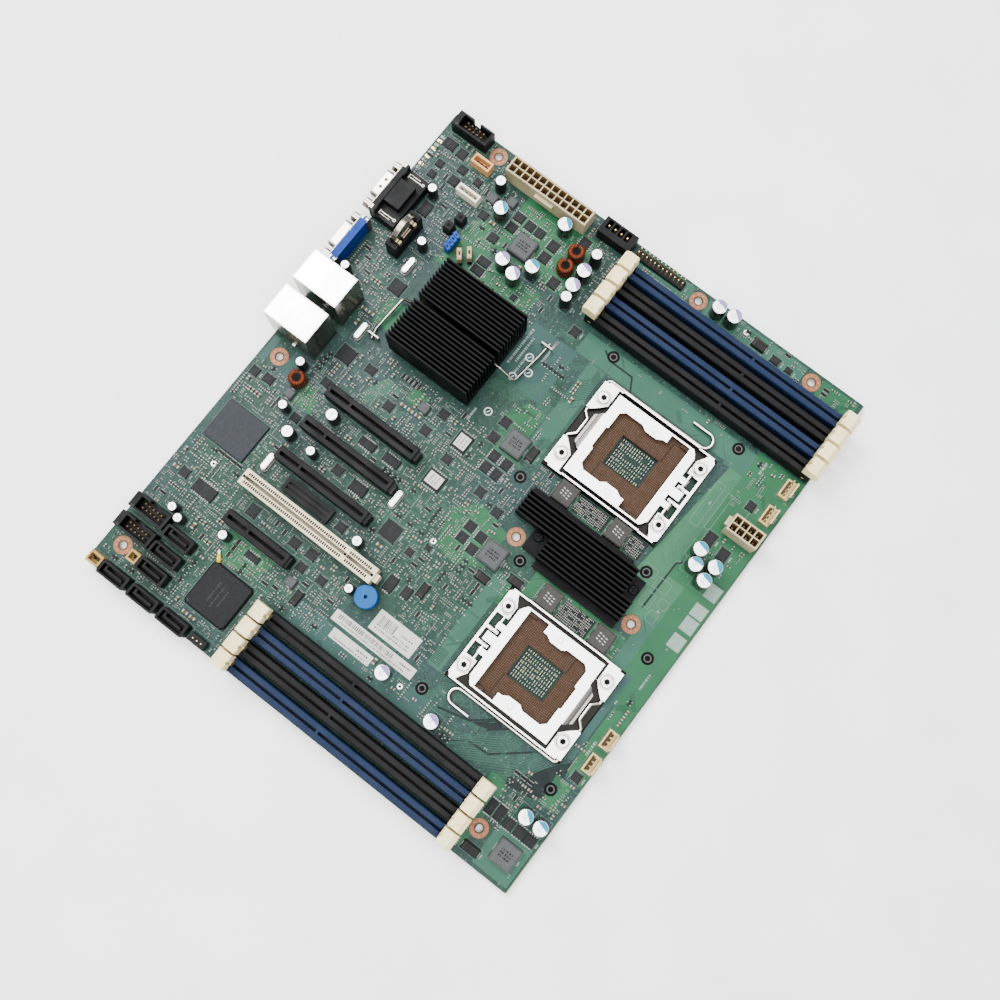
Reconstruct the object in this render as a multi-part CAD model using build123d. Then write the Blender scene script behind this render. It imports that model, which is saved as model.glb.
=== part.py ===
"""Dual-processor server motherboard on the 304.8 x 266.7 mm board size, in millimetres.

Frame: the origin is the mounting hole nearest the middle of the rear edge, on the board's underside.
+X runs along the rear edge towards the power connectors, +Y towards the rear ports, +Z up.
Places on the board are measured as the maker's drawing would: x from the left edge, y from the rear
edge and z from the board's top face.
"""

import os

from build123d import *

# ---- Board ----
BOARD_X = 304.8
BOARD_Y = 266.7
BOARD_T = 1.6
BOARD_CORNER_R = 1.5
DATUM_X = 140.97
DATUM_Y = 10.16
MOUNT_HOLE_R = 1.98
MOUNT_COLUMNS = (16.51, 140.97, 298.45)
MOUNT_HOLES = [(x, 237.49) for x in MOUNT_COLUMNS] + [
    (16.51, DATUM_Y), (DATUM_X, DATUM_Y), (298.45, 33.02), (140.97, 165.10), (298.45, 165.10),
]

# ---- Processor sockets ----
CPU_PLACES = {"cpu1": (206.75, 188.0, 0), "cpu2": (92.3, 214.05, 180)}
COOLER_PITCH = 80.0
BACK_PLATE_SIZE = 88.0
BACK_PLATE_T = 2.0
BACK_WINDOW_U = 13.0
BACK_WINDOW_V = 14.0
COOLER_BOSS_R = 3.0
COOLER_THREAD_R = 1.5
FRAME_STUD_R = 2.4
FRAME_THREAD_R = 1.5
FRAME_SCREW_R = 1.45
FRAME_SCREW_U = 18.05
FRAME_SCREW_V = 30.5
FRAME_SCREW_HEAD_R = 3.3
FRAME_SPACER_R = 2.45
HOLE_CLEARANCE = 0.1
FRAME_HALF_U = 27.2
FRAME_WALL_T = 1.0
FRAME_REAR_V = 35.3
FRAME_FRONT_V = -34.9
FRAME_BASE_H = 1.0
FRAME_DECK_Z = 3.2
FRAME_DECK_T = 1.2
FRAME_WALL_H = 6.6
SOCKET_HALF_U = 23.6
SOCKET_HALF_V = 23.9
SOCKET_H = 4.6
SOCKET_FLOOR_H = 3.0
PACKAGE_HALF_U = 21.3
PACKAGE_HALF_V = 22.6
CAVITY_HALF_U = 9.0
CAVITY_HALF_V = 11.0
PLATE_Z = 5.0
PLATE_T = 1.2
PLATE_HALF_U = 24.2
HINGE_V = -28.6
HINGE_Z = 4.5
HINGE_BAR_R = 0.95
HINGE_BORE_R = 1.0
HINGE_BARREL_R = 1.75
LEVER_V = 34.2
LEVER_Z = 2.1
LEVER_WIRE_R = 0.95
LEVER_ARM_U = 28.4
LEVER_GRIP_U = LEVER_ARM_U + 8.4

# ---- Memory slots ----
SLOT_W = 7.5
SLOT_H = 10.0
SLOT_LENGTH = 128.5
SLIT_W = 1.6
SLIT_DEPTH = 6.0
EAR_LENGTH = 6.5
EAR_T = 1.55
LATCH_STEM_W = 4.2
LATCH_PAD_W = 8.3
LATCH_PAD_START = 0.6
LATCH_PAD_END = 8.8
LATCH_PAD_Z = 12.0
LATCH_TOP_Z = 20.5
LATCH_PIVOT_S = 3.5
LATCH_PIVOT_Z = 2.8
LATCH_PIN_R = 1.0
LATCH_PIN_BORE_R = 1.06
CPU1_SLOT_X = (256.9, 266.8, 276.7, 286.6)
CPU2_SLOT_X = (5.4, 14.9, 24.4, 33.9)
CPU1_SLOT_REAR = 130.3
CPU2_SLOT_REAR = 94.3
CPU1_SLOT_KEY = 206.5
CPU2_SLOT_KEY = 147.0

# ---- Rear ports ----
PORT_H = 29.0
PORT_W = 18.6
PORT_REAR_Y = -1.4
PORT_FRONT_Y = 25.8
PORT_SHEET = 0.4
PORT_CENTRES = (159.9, 183.0)
JACK_W = 11.9
JACK_H = 9.4
JACK_Z = 17.6
JACK_DEPTH = 14.0
USB_W = 12.6
USB_H = 5.2
USB_Z = (1.6, 9.0)
USB_DEPTH = 10.0
LEG_R = 0.9
LEG_DEPTH = 3.6
LEG_FOOT_H = 0.4
DSUB_H = 12.5
DSUB_MID_Z = 6.3
DSUB_NOSE_H = 8.3
DSUB_NOSE_W = 16.9
DSUB_NOSE_L = 5.7
DSUB_FLANGE_T = 0.5
DSUB_SHEET = 0.5
JACK_SCREW_PITCH = 24.99
VGA_X = 210.8
SERIAL_X = 245.9

# ---- Connectors ----
PIN_PITCH = 2.54
PIN_HALF = 0.32
POWER_PITCH = 4.2
POWER_CELL = 3.6
POWER_H = 12.8
POWER_CELL_FLOOR = 3.0
POWER_WALL = 0.6
POWER_LEDGE = 1.9
BOX_HEADER_H = 9.0
SATA_HALF_W = 3.6
SATA_HALF_L = 8.4
SATA_H = 8.6
FAN_HALF_L = 5.1
FAN_BASE_H = 3.2
FAN_WALL_H = 9.0
WAFER_H = 6.6
CARD_SLOT_H = 11.0
CARD_SLOT_W = 7.4
PCI_H = 11.2
PCI_W = 8.9
MEZZANINE_H = 4.2

# ---- Heatsinks ----
SINK_X = 204.3
SINK_Y = 78.6
SINK_SIZE = 50.8
SINK_FOOT_Z = 2.6
SINK_BASE_T = 4.0
SINK_TOP_Z = 27.0
SINK_FINS = 11
SINK_FIN_T = 0.9
SINK_CHANNEL = 3.2
CLIP_R = 0.75
CLIP_Z = SINK_FOOT_Z + SINK_BASE_T + 1.0
REG_FIN_PITCH = 2.5
REG_FIN_T = 1.0
REG_BASE_Z = 1.2
REG_BASE_T = 2.4
REG_TOP_Z = 14.0


# ---- Helpers ----
def at(x, y, z=0.0):
    """A place x from the left edge, y from the rear edge and z above the board's top face."""
    return Pos(x - DATUM_X, DATUM_Y - y, BOARD_T + z)


def block(x0, x1, y0, y1, z0, z1):
    """A box between those distances."""
    return at((x0 + x1) / 2, (y0 + y1) / 2, (z0 + z1) / 2) * Box(x1 - x0, y1 - y0, z1 - z0)


def bar(u0, u1, v0, v1, z0, z1):
    """A box in a sub-part's own axes."""
    return Pos((u0 + u1) / 2, (v0 + v1) / 2, (z0 + z1) / 2) * Box(u1 - u0, v1 - v0, z1 - z0)


def drum(u, v, r, z0, z1):
    """An upright cylinder in a sub-part's own axes."""
    return Pos(u, v, (z0 + z1) / 2) * Cylinder(r, z1 - z0)


def post(x, y, r, z0, z1):
    """An upright cylinder on the board."""
    return at(x, y, (z0 + z1) / 2) * Cylinder(r, z1 - z0)


def plate(points, z0, z1):
    """A flat plate with that outline, in a sub-part's own axes."""
    outline = make_face(Polyline(*points, close=True))
    return extrude(Pos(0, 0, z0) * outline, z1 - z0)


def package(x, y, w, d, h, bevel=0.25, z0=0.0, corner=0.0):
    """A moulded package with its top edges bevelled, and its corners cut if asked."""
    body = Box(w, d, h)
    if corner:
        body = chamfer(body.edges().filter_by(Axis.Z), corner)
    body = chamfer(body.edges().group_by(Axis.Z)[-1], bevel)
    return at(x, y, z0 + h / 2) * body


def save(name, *shapes):
    """One STEP file for the node, holding each of its solids."""
    solids = [solid for shape in shapes for solid in shape.solids()]
    export_step(Compound(label=name, children=solids), f"parts/{name}.step")


def mirrored(points):
    """The outline followed by its reflection in u = 0."""
    return list(points) + [(-u, v) for u, v in reversed(points)]


# ---- Processor socket assembly, in its own axes: u right, v towards the lever's pivot, z up ----
SCREW_SPOTS = [(su * FRAME_SCREW_U, sv * FRAME_SCREW_V) for su in (-1, 1) for sv in (-1, 1)]
BOSS_SPOTS = [(su * COOLER_PITCH / 2, sv * COOLER_PITCH / 2) for su in (-1, 1) for sv in (-1, 1)]


def socket_body():
    body = bar(-SOCKET_HALF_U, SOCKET_HALF_U, -SOCKET_HALF_V, SOCKET_HALF_V, 0, SOCKET_H)
    body = chamfer(body.edges().filter_by(Axis.Z), 1.0)
    recess = bar(-PACKAGE_HALF_U, PACKAGE_HALF_U, -PACKAGE_HALF_V, PACKAGE_HALF_V,
                 SOCKET_FLOOR_H, SOCKET_H)
    cavity = bar(-CAVITY_HALF_U, CAVITY_HALF_U, -CAVITY_HALF_V, CAVITY_HALF_V, 0, SOCKET_H)
    finger_notches = [bar(su * 22.5 - 2, su * 22.5 + 2, -15.5, -8.5, SOCKET_FLOOR_H, SOCKET_H)
                      for su in (-1, 1)]
    return body - recess - cavity - finger_notches


def frame_deck():
    """The raised plates that the screws clamp: two corners behind, one notched strip in front."""
    deck = []
    corner = [(9.4, 35.3), (26.2, 35.3), (26.2, 26.2), (16.0, 26.2), (12.8, 29.2), (9.4, 33.0)]
    for side in (-1, 1):
        outline = [(side * u, v) for u, v in corner]
        deck.append(plate(outline, FRAME_DECK_Z, FRAME_DECK_Z + FRAME_DECK_T))
    strip = plate(mirrored([(24.9, -34.9), (26.2, -33.4), (26.2, -29.9), (24.0, -28.9), (20.3, -26.5)]),
                  FRAME_DECK_Z, FRAME_DECK_Z + FRAME_DECK_T)
    strip -= bar(-3.4, 3.4, -33.2, -25, 0, 8)
    for side in (-1, 1):
        strip -= bar(min(side * 5.1, side * 12.7), max(side * 5.1, side * 12.7), -33.4, -25, 0, 8)
    hinge_bars = [
        Pos(side * 8.9, HINGE_V, HINGE_Z) * Rot(0, 90, 0) * Cylinder(HINGE_BAR_R, 7.6) for side in (-1, 1)
    ]
    bar_cheeks = [bar(side * u - 0.6, side * u + 0.6, HINGE_V - 1.2, HINGE_V + 1.2,
                      FRAME_DECK_Z + 0.6, HINGE_Z + 1.2) for side in (-1, 1) for u in (4.5, 13.3)]
    return deck + [strip] + hinge_bars + bar_cheeks


def socket_frame():
    wall_in = FRAME_HALF_U - FRAME_WALL_T
    base = bar(-FRAME_HALF_U, FRAME_HALF_U, FRAME_FRONT_V, FRAME_REAR_V, 0, FRAME_BASE_H)
    base -= bar(-SOCKET_HALF_U - 0.4, SOCKET_HALF_U + 0.4, -SOCKET_HALF_V - 0.4, SOCKET_HALF_V + 0.4, 0, 2)
    base -= bar(-3.4, 3.4, -33.2, -25, 0, 2)
    base -= [bar(side * 8.9 - 3.8, side * 8.9 + 3.8, -33.4, -25, 0, 2) for side in (-1, 1)]
    frame = base
    for side in (-1, 1):
        wall = side * (wall_in + FRAME_WALL_T / 2)
        frame += bar(wall - 0.5, wall + 0.5, -33.4, 32.6, 0, FRAME_DECK_Z + FRAME_DECK_T)
        frame += bar(wall - 0.5, wall + 0.5, -24.0, 24.0, 0, FRAME_WALL_H)
    frame += frame_deck()
    frame += bar(-7.8, 7.8, FRAME_REAR_V - 0.6, FRAME_REAR_V, 0, 1.0)
    frame += bar(FRAME_HALF_U, FRAME_HALF_U + 2.9, -1.6, 1.6, 0, 0.8)
    for u, v in SCREW_SPOTS:
        frame += drum(u, v, FRAME_SPACER_R, FRAME_BASE_H, FRAME_DECK_Z)
        frame -= drum(u, v, FRAME_SCREW_R + HOLE_CLEARANCE, 0, 6)
    return frame


def load_plate():
    window = make_face(Polyline(
        (-18.4, -8.9), (-18.4, -6.6), (-16.6, -3.4), (-16.6, 3.4), (-18.4, 6.0), (-18.4, 16.6),
        (-16.0, 19.2), (-6.6, 19.2), (-6.0, 20.3), (6.0, 20.3), (6.6, 19.2), (16.0, 19.2),
        (18.4, 16.6), (18.4, 6.0), (16.6, 3.4), (16.6, -3.4), (18.4, -6.6), (18.4, -8.9),
        (23.2, -8.9), (23.2, -20.2), (-23.2, -20.2), (-23.2, -8.9), close=True))
    outline = make_face(Polyline(*mirrored([
        (20.0, -25.2), (22.6, -23.6), (PLATE_HALF_U, -22.2), (PLATE_HALF_U, 24.8)]), close=True))
    sheet = extrude(Pos(0, 0, PLATE_Z) * (outline - window), PLATE_T)
    tongue = extrude(Plane.YZ * make_face(Polyline(
        (24.0, PLATE_Z), (24.0, PLATE_Z + PLATE_T), (25.2, PLATE_Z + PLATE_T), (28.0, 4.6), (29.3, 4.6),
        (29.3, 3.5), (27.4, 3.5), (24.8, PLATE_Z), close=True)), 11.6, both=True)
    tongue -= [plate([(side * 8.4, 29.4), (side * 12.0, 29.4), (side * 12.0, 25.4)], 0, 8)
               for side in (-1, 1)]
    rails = [bar(side * 23.95 - 0.25, side * 23.95 + 0.25, -20.6, -8.5, 3.6, PLATE_Z) for side in (-1, 1)]
    stop = bar(-2.5, 2.5, -31.4, -25.0, PLATE_Z + 0.3, PLATE_Z + PLATE_T)
    result = sheet + tongue + rails + stop
    for side in (-1, 1):
        u0, u1 = sorted((side * 6.0, side * 9.4))
        result += bar(u0, u1, HINGE_V, -25.0, PLATE_Z + 0.2, PLATE_Z + PLATE_T)
        result += Pos(side * 7.7, HINGE_V, HINGE_Z) * Rot(0, 90, 0) * Cylinder(HINGE_BARREL_R, 3.4)
        result -= Pos(side * 7.7, HINGE_V, HINGE_Z) * Rot(0, 90, 0) * Cylinder(HINGE_BORE_R, 5)
    for side in (-1, 1):
        dimple = Pos(side * 20.2, 0, PLATE_Z + PLATE_T) * Sphere(1.4)
        result += dimple & bar(-25, 25, -3, 3, PLATE_Z + PLATE_T - 0.5, PLATE_Z + PLATE_T + 0.35)
    return result


def load_lever():
    """One bent wire: pivot run with its crank, then the arm and the hooked grip."""
    crank_v, crank_z = 30.75, 3.3
    route = [
        (-17.0, LEVER_V, LEVER_Z), (-7.8, LEVER_V, LEVER_Z), (-4.6, crank_v, crank_z),
        (4.6, crank_v, crank_z), (7.8, LEVER_V, LEVER_Z), (LEVER_ARM_U, LEVER_V, LEVER_Z),
        (LEVER_ARM_U, -27.8, LEVER_Z), (LEVER_GRIP_U, -27.8, LEVER_Z), (LEVER_GRIP_U, -13.5, LEVER_Z),
    ]
    bends = [1.2, 1.2, 1.2, 1.2, 2.2, 4.1, 4.1]
    path = FilletPolyline(*route, radius=bends)
    start = Plane(origin=route[0], z_dir=(1, 0, 0))
    return sweep(start * Circle(LEVER_WIRE_R), path=path)


def frame_screw(u, v):
    deck = FRAME_DECK_Z + FRAME_DECK_T
    head = drum(u, v, FRAME_SCREW_HEAD_R, deck, deck + 1.7)
    head = fillet(head.edges().group_by(Axis.Z)[-1], 0.7)
    head -= Pos(u, v, deck + 1.2) * extrude(RegularPolygon(1.5, 6), 1)
    return head + drum(u, v, FRAME_SCREW_R, -BOARD_T, deck)


def back_plate():
    half = BACK_PLATE_SIZE / 2
    sheet = bar(-half, half, -half, half, -BOARD_T - BACK_PLATE_T, -BOARD_T)
    sheet = fillet(sheet.edges().filter_by(Axis.Z), 6)
    window = bar(-BACK_WINDOW_U, BACK_WINDOW_U, -BACK_WINDOW_V, BACK_WINDOW_V, -4, 0)
    sheet -= fillet(window.edges().filter_by(Axis.Z), 3)
    for u, v in BOSS_SPOTS:
        sheet += drum(u, v, COOLER_BOSS_R, -BOARD_T, 0)
        sheet -= drum(u, v, COOLER_THREAD_R, -4, 0)
    for u, v in SCREW_SPOTS:
        sheet += drum(u, v, FRAME_STUD_R, -BOARD_T, 0)
        sheet -= drum(u, v, FRAME_THREAD_R, -4, 0)
    return sheet


def socket_place(cpu):
    x, y, turn = CPU_PLACES[cpu]
    return at(x, y) * Rot(0, 0, turn)


def make_sockets():
    """Saves the socket pieces, and returns the frame screws."""
    screws, plates = [], []
    for cpu in CPU_PLACES:
        place = socket_place(cpu)
        save(f"{cpu}_socket_body", place * socket_body())
        save(f"{cpu}_socket_frame", place * socket_frame())
        save(f"{cpu}_load_plate", place * load_plate())
        save(f"{cpu}_load_lever", place * load_lever())
        screws += [place * frame_screw(u, v) for u, v in SCREW_SPOTS]
        plates.append(place * back_plate())
    save("cpu_back_plates", *plates)
    return screws


# ---- Memory slots: s runs outwards from a slot's end ----
def memory_slot(key_offset):
    """A slot about its own middle, along Y, with the key at key_offset."""
    half = SLOT_LENGTH / 2
    body = bar(-SLOT_W / 2, SLOT_W / 2, -half, half, 0, SLOT_H)
    body = chamfer(body.edges().group_by(Axis.Z)[-1].filter_by(Axis.Y), 0.4)
    body -= bar(-SLIT_W / 2, SLIT_W / 2, -half, half, SLOT_H - SLIT_DEPTH, SLOT_H)
    body += bar(-SLIT_W / 2, SLIT_W / 2, key_offset - 0.75, key_offset + 0.75, 1, SLOT_H - 0.5)
    for end in (-1, 1):
        for side in (-1, 1):
            ear_u = side * (SLOT_W - EAR_T) / 2
            ear = bar(ear_u - EAR_T / 2, ear_u + EAR_T / 2, half - 0.5, half + EAR_LENGTH, 0, SLOT_H)
            ear -= Pos(ear_u, half + LATCH_PIVOT_S, LATCH_PIVOT_Z) * Rot(0, 90, 0) * Cylinder(
                LATCH_PIN_BORE_R, 3)
            body += ear if end == 1 else Rot(0, 0, 180) * ear
    return body


def memory_latch():
    """A latch at a slot's far end: the slot's end face is v = 0 and v grows outwards."""
    s, z = LATCH_PIVOT_S, LATCH_PIVOT_Z
    side_view = Plane.YZ * make_face(Polyline(
        (s - 2.1, z), (s + 2.3, z), (s + 2.6, 9.4), (LATCH_PAD_END - 0.9, LATCH_PAD_Z),
        (LATCH_PAD_START, LATCH_PAD_Z), (s - 2.1, 10.4), close=True))
    stem = extrude(side_view, LATCH_STEM_W / 2, both=True)
    stem += Pos(0, s, z) * Rot(0, 90, 0) * Cylinder(2.3, LATCH_STEM_W)
    pad_view = Plane.YZ * make_face(Polyline(
        (LATCH_PAD_START, LATCH_PAD_Z), (LATCH_PAD_END - 0.7, LATCH_PAD_Z), (LATCH_PAD_END, 14.0),
        (LATCH_PAD_END, LATCH_TOP_Z - 2.2), (LATCH_PAD_END - 2.4, LATCH_TOP_Z),
        (LATCH_PAD_START + 0.6, LATCH_TOP_Z), (LATCH_PAD_START, LATCH_TOP_Z - 1.0), close=True))
    pad = extrude(pad_view, LATCH_PAD_W / 2, both=True)
    pad -= drum(0, LATCH_PAD_START, 0.9, LATCH_PAD_Z - 1, LATCH_TOP_Z + 1)
    pin = Pos(0, s, z) * Rot(0, 90, 0) * Cylinder(LATCH_PIN_R, SLOT_W - 0.6)
    return stem + pad + pin


def make_memory():
    blue, black = [], []
    banks = {
        "cpu1": (CPU1_SLOT_X, CPU1_SLOT_REAR, CPU1_SLOT_KEY, (1, 3)),
        "cpu2": (CPU2_SLOT_X, CPU2_SLOT_REAR, CPU2_SLOT_KEY, (0, 2)),
    }
    for bank, (columns, rear, key, blue_columns) in banks.items():
        middle = rear + SLOT_LENGTH / 2
        for index, x in enumerate(columns):
            slot = at(x, middle) * memory_slot(middle - key)
            (blue if index in blue_columns else black).append(slot)
            for end, y, turn in (("rear", rear, 0), ("front", rear + SLOT_LENGTH, 180)):
                latch = at(x, y) * Rot(0, 0, turn) * memory_latch()
                save(f"{bank}_slot{index + 1}_{end}_latch", latch)
    save("blue_memory_slots", *blue)
    save("black_memory_slots", *black)


# ---- Heatsinks ----
def make_chipset_sink():
    half = SINK_SIZE / 2
    base_top = SINK_FOOT_Z + SINK_BASE_T
    sink = block(SINK_X - half, SINK_X + half, SINK_Y - half, SINK_Y + half, SINK_FOOT_Z, base_top)
    first = SINK_CHANNEL / 2 + SINK_FIN_T / 2
    for side in (-1, 1):
        for index in range(SINK_FINS):
            x = SINK_X + side * (first + index * (half - SINK_FIN_T / 2 - first) / (SINK_FINS - 1))
            sink += block(x - SINK_FIN_T / 2, x + SINK_FIN_T / 2, SINK_Y - half, SINK_Y + half,
                          base_top, SINK_TOP_Z)
    save("chipset_heatsink", sink)
    rear, front = SINK_Y - half, SINK_Y + half
    route = [(177.6, 42.4, 1.9), (183.0, 41.2, 2.6), (SINK_X, 42.6, 3.4), (SINK_X, rear - 2, CLIP_Z),
             (SINK_X, front + 2, CLIP_Z), (SINK_X, 115.2, 3.4), (223.0, 117.4, 2.6), (231.6, 117.9, 1.9)]
    points = [(x - DATUM_X, DATUM_Y - y, BOARD_T + z) for x, y, z in route]
    path = FilletPolyline(*points, radius=1.6)
    run = Vector(*points[1]) - Vector(*points[0])
    save("chipset_heatsink_clip", sweep(Plane(origin=points[0], z_dir=run) * Circle(CLIP_R), path=path))
    anchors = []
    for x, y in ((179.4, 42.6), (229.4, 117.4)):
        loop = block(x - 0.4, x + 0.4, y - 3.4, y + 3.4, 0, 4.4)
        loop -= block(x - 1, x + 1, y - 2.6, y + 2.6, 0, 3.6)
        anchors.append(loop)
    save("clip_anchor_loops", *anchors)


def make_regulator_sink():
    """Saves the heatsink, and returns its screws."""
    base_top = REG_BASE_Z + REG_BASE_T
    sink = block(133.4, 150.2, 180.4, 231.2, REG_BASE_Z, base_top)
    sink += block(150.2, 167.0, 157.4, 220.2, REG_BASE_Z, base_top)
    sink += block(138.2, 151.4, 170.6, 181.0, REG_BASE_Z, base_top)
    sink += block(149.8, 161.8, 219.0, 231.2, REG_BASE_Z, base_top)
    for index in range(11):
        x = 137.9 + index * REG_FIN_PITCH
        y0, y1 = (179.6, 231.2) if index < 5 else (157.4, 224.6)
        sink += block(x - REG_FIN_T / 2, x + REG_FIN_T / 2, y0, y1, base_top - 0.5, REG_TOP_Z)
    screws = []
    for x, y in ((147.2, 174.4), (154.8, 228.0)):
        sink -= post(x, y, 1.35, 0, base_top)
        head = post(x, y, 2.5, base_top, base_top + 1.8)
        head = fillet(head.edges().group_by(Axis.Z)[-1], 0.6)
        head -= at(x, y, base_top + 1.8) * (Box(3.2, 0.6, 1.4) + Box(0.6, 3.2, 1.4))
        screws.append(head + post(x, y, 1.25, -BOARD_T, base_top))
    save("regulator_heatsink", sink)
    return screws


# ---- Rear ports ----
def port_leg_spots(x):
    return [(x + side * (PORT_W / 2 - 0.95), y) for side in (-1, 1) for y in (6.0, 19.0)]


def make_network_ports():
    shells, inserts = [], []
    rear, front = PORT_REAR_Y, PORT_FRONT_Y
    for x in PORT_CENTRES:
        x0, x1 = x - PORT_W / 2, x + PORT_W / 2
        shell = block(x0, x1, rear, front, 0, PORT_H)
        inner = block(x0 + PORT_SHEET, x1 - PORT_SHEET, rear + PORT_SHEET, front - PORT_SHEET,
                      -1, PORT_H - PORT_SHEET)
        shell -= inner
        jack = block(x - JACK_W / 2, x + JACK_W / 2, rear - 1, rear + JACK_DEPTH, JACK_Z, JACK_Z + JACK_H)
        holes = [block(x - USB_W / 2, x + USB_W / 2, rear - 1, rear + USB_DEPTH, z, z + USB_H)
                 for z in USB_Z]
        shell -= [jack] + holes
        insert = block(x0 + PORT_SHEET, x1 - PORT_SHEET, rear + PORT_SHEET, front - PORT_SHEET,
                       0, PORT_H - PORT_SHEET)
        insert -= [jack] + holes
        for z in USB_Z:
            insert += block(x - 5.6, x + 5.6, rear + 1.2, rear + USB_DEPTH + 0.2, z + 2.9, z + 4.6)
        for leg_x, leg_y in port_leg_spots(x):
            foot = sorted((leg_x, x0 if leg_x < x else x1))
            shell += post(leg_x, leg_y, LEG_R, -LEG_DEPTH, LEG_FOOT_H)
            shell += block(*foot, leg_y - LEG_R, leg_y + LEG_R, 0, LEG_FOOT_H)
            insert -= post(leg_x, leg_y, LEG_R + HOLE_CLEARANCE, -1, LEG_FOOT_H + HOLE_CLEARANCE)
            insert -= block(*foot, leg_y - LEG_R - HOLE_CLEARANCE, leg_y + LEG_R + HOLE_CLEARANCE,
                            -1, LEG_FOOT_H + HOLE_CLEARANCE)
        shells.append(shell)
        inserts.append(insert)
    save("lan_usb_shells", *shells)
    save("lan_usb_inserts", *inserts)


def d_outline(width, height):
    """The D-shaped outline of a port's nose, wider at the top, in the XZ plane."""
    slope = 0.9
    corners = Polyline((-width / 2, height / 2), (width / 2, height / 2),
                       (width / 2 - slope * 1.2, -height / 2), (-width / 2 + slope * 1.2, -height / 2),
                       close=True)
    return fillet(make_face(corners).vertices(), 2.0)


def d_prism(x, width, height, y0, y1):
    """That outline run from y0 to y1 from the rear edge."""
    return at(x, y0, DSUB_MID_Z) * extrude(Plane.XZ * d_outline(width, height), y1 - y0)


def make_dsub_ports():
    metal = []
    for x, width in ((VGA_X, 30.4), (SERIAL_X, 31.6)):
        flange = block(x - width / 2, x + width / 2, -DSUB_FLANGE_T, 0, 0.3, DSUB_H)
        nose = d_prism(x, DSUB_NOSE_W, DSUB_NOSE_H, -DSUB_NOSE_L, 0)
        bore = d_prism(x, DSUB_NOSE_W - 2 * DSUB_SHEET, DSUB_NOSE_H - 2 * DSUB_SHEET, -DSUB_NOSE_L - 1, 1)
        metal.append(flange + nose - bore)
        for side in (-1, 1):
            nut = extrude(Plane.XZ * (RegularPolygon(2.75, 6) - Circle(1.3)), DSUB_NOSE_L - DSUB_FLANGE_T)
            metal.append(at(x + side * JACK_SCREW_PITCH / 2, -DSUB_NOSE_L, DSUB_MID_Z) * nut)
    video = block(VGA_X - 14.9, VGA_X + 14.9, 0, 4.2, 0, DSUB_H)
    video_nose = d_prism(VGA_X, DSUB_NOSE_W - 2 * DSUB_SHEET, DSUB_NOSE_H - 2 * DSUB_SHEET, -4.9, 0)
    sockets = []
    for row in (-1, 0, 1):
        for column in range(5):
            hole_x = VGA_X + (column - 2) * 2.29 + row * 0.6
            sockets.append(at(hole_x, -2.5, DSUB_MID_Z + row * 1.98) * Rot(90, 0, 0) * Cylinder(0.5, 5.2))
    video += video_nose
    video -= sockets
    save("vga_connector", video)
    serial = block(SERIAL_X - 15.4, SERIAL_X + 15.4, 0, 3.0, 0, DSUB_H)
    serial += block(SERIAL_X - 15.4, SERIAL_X + 15.4, 3.0, 15.4, 0, 7.4)
    serial += block(SERIAL_X - 7.4, SERIAL_X + 7.4, 3.0, 12.8, 7.4, 11.9)
    serial += d_prism(SERIAL_X, DSUB_NOSE_W - 2 * DSUB_SHEET, DSUB_NOSE_H - 2 * DSUB_SHEET, -0.5, 0)
    save("serial_connector", serial)
    save("dsub_shells", *metal)


def serial_port_pins():
    """Five pins over four, standing in the serial port's nose."""
    pins = []
    for row, count in ((1, 5), (-1, 4)):
        for column in range(count):
            pin_x = SERIAL_X + (column - (count - 1) / 2) * 2.77
            pins.append(at(pin_x, -2.9, DSUB_MID_Z + row * 1.42) * Rot(90, 0, 0) * Cylinder(0.5, 4.8))
    return pins


# ---- Coin cell and buzzer ----
CELL_X, CELL_Y, CELL_R, CELL_T = 231.0, 22.4, 10.0, 3.2


def make_battery():
    middle_z = 1.6 + CELL_R
    holder = block(CELL_X - 11.2, CELL_X + 11.2, CELL_Y - 3.3, CELL_Y + 3.3, 0, 9.5)
    holder += block(CELL_X - 11.2, CELL_X - 7.6, CELL_Y - 3.3, CELL_Y + 3.3, 9.5, 14.0)
    holder += block(CELL_X + 7.6, CELL_X + 11.2, CELL_Y - 3.3, CELL_Y + 3.3, 9.5, 14.0)
    pocket = at(CELL_X, CELL_Y, middle_z) * Rot(90, 0, 0) * Cylinder(CELL_R + 0.25, CELL_T + 0.4)
    way_out = block(CELL_X - CELL_R - 0.25, CELL_X + CELL_R + 0.25, CELL_Y - CELL_T / 2 - 0.2,
                    CELL_Y + CELL_T / 2 + 0.2, middle_z, 30)
    save("battery_holder", holder - pocket - way_out)
    cell = at(CELL_X, CELL_Y, middle_z) * Rot(90, 0, 0) * Cylinder(CELL_R, CELL_T)
    save("coin_cell", fillet(cell.edges(), 0.35))


def make_buzzer():
    body = post(70.8, 124.7, 6.0, 0, 8.2)
    body = fillet(body.edges().group_by(Axis.Z)[-1], 0.5)
    save("buzzer", body - post(70.8, 124.7, 1.0, 4.0, 9.0))


# ---- Power and signal connectors ----
def cell_grid(x, y, columns, rows, pitch, cell, z0, z1):
    """The cells of a housing, one square hole for each contact."""
    return [block(cx - cell / 2, cx + cell / 2, cy - cell / 2, cy + cell / 2, z0, z1)
            for cx in (x + (c - (columns - 1) / 2) * pitch for c in range(columns))
            for cy in (y + (r - (rows - 1) / 2) * pitch for r in range(rows))]


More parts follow.
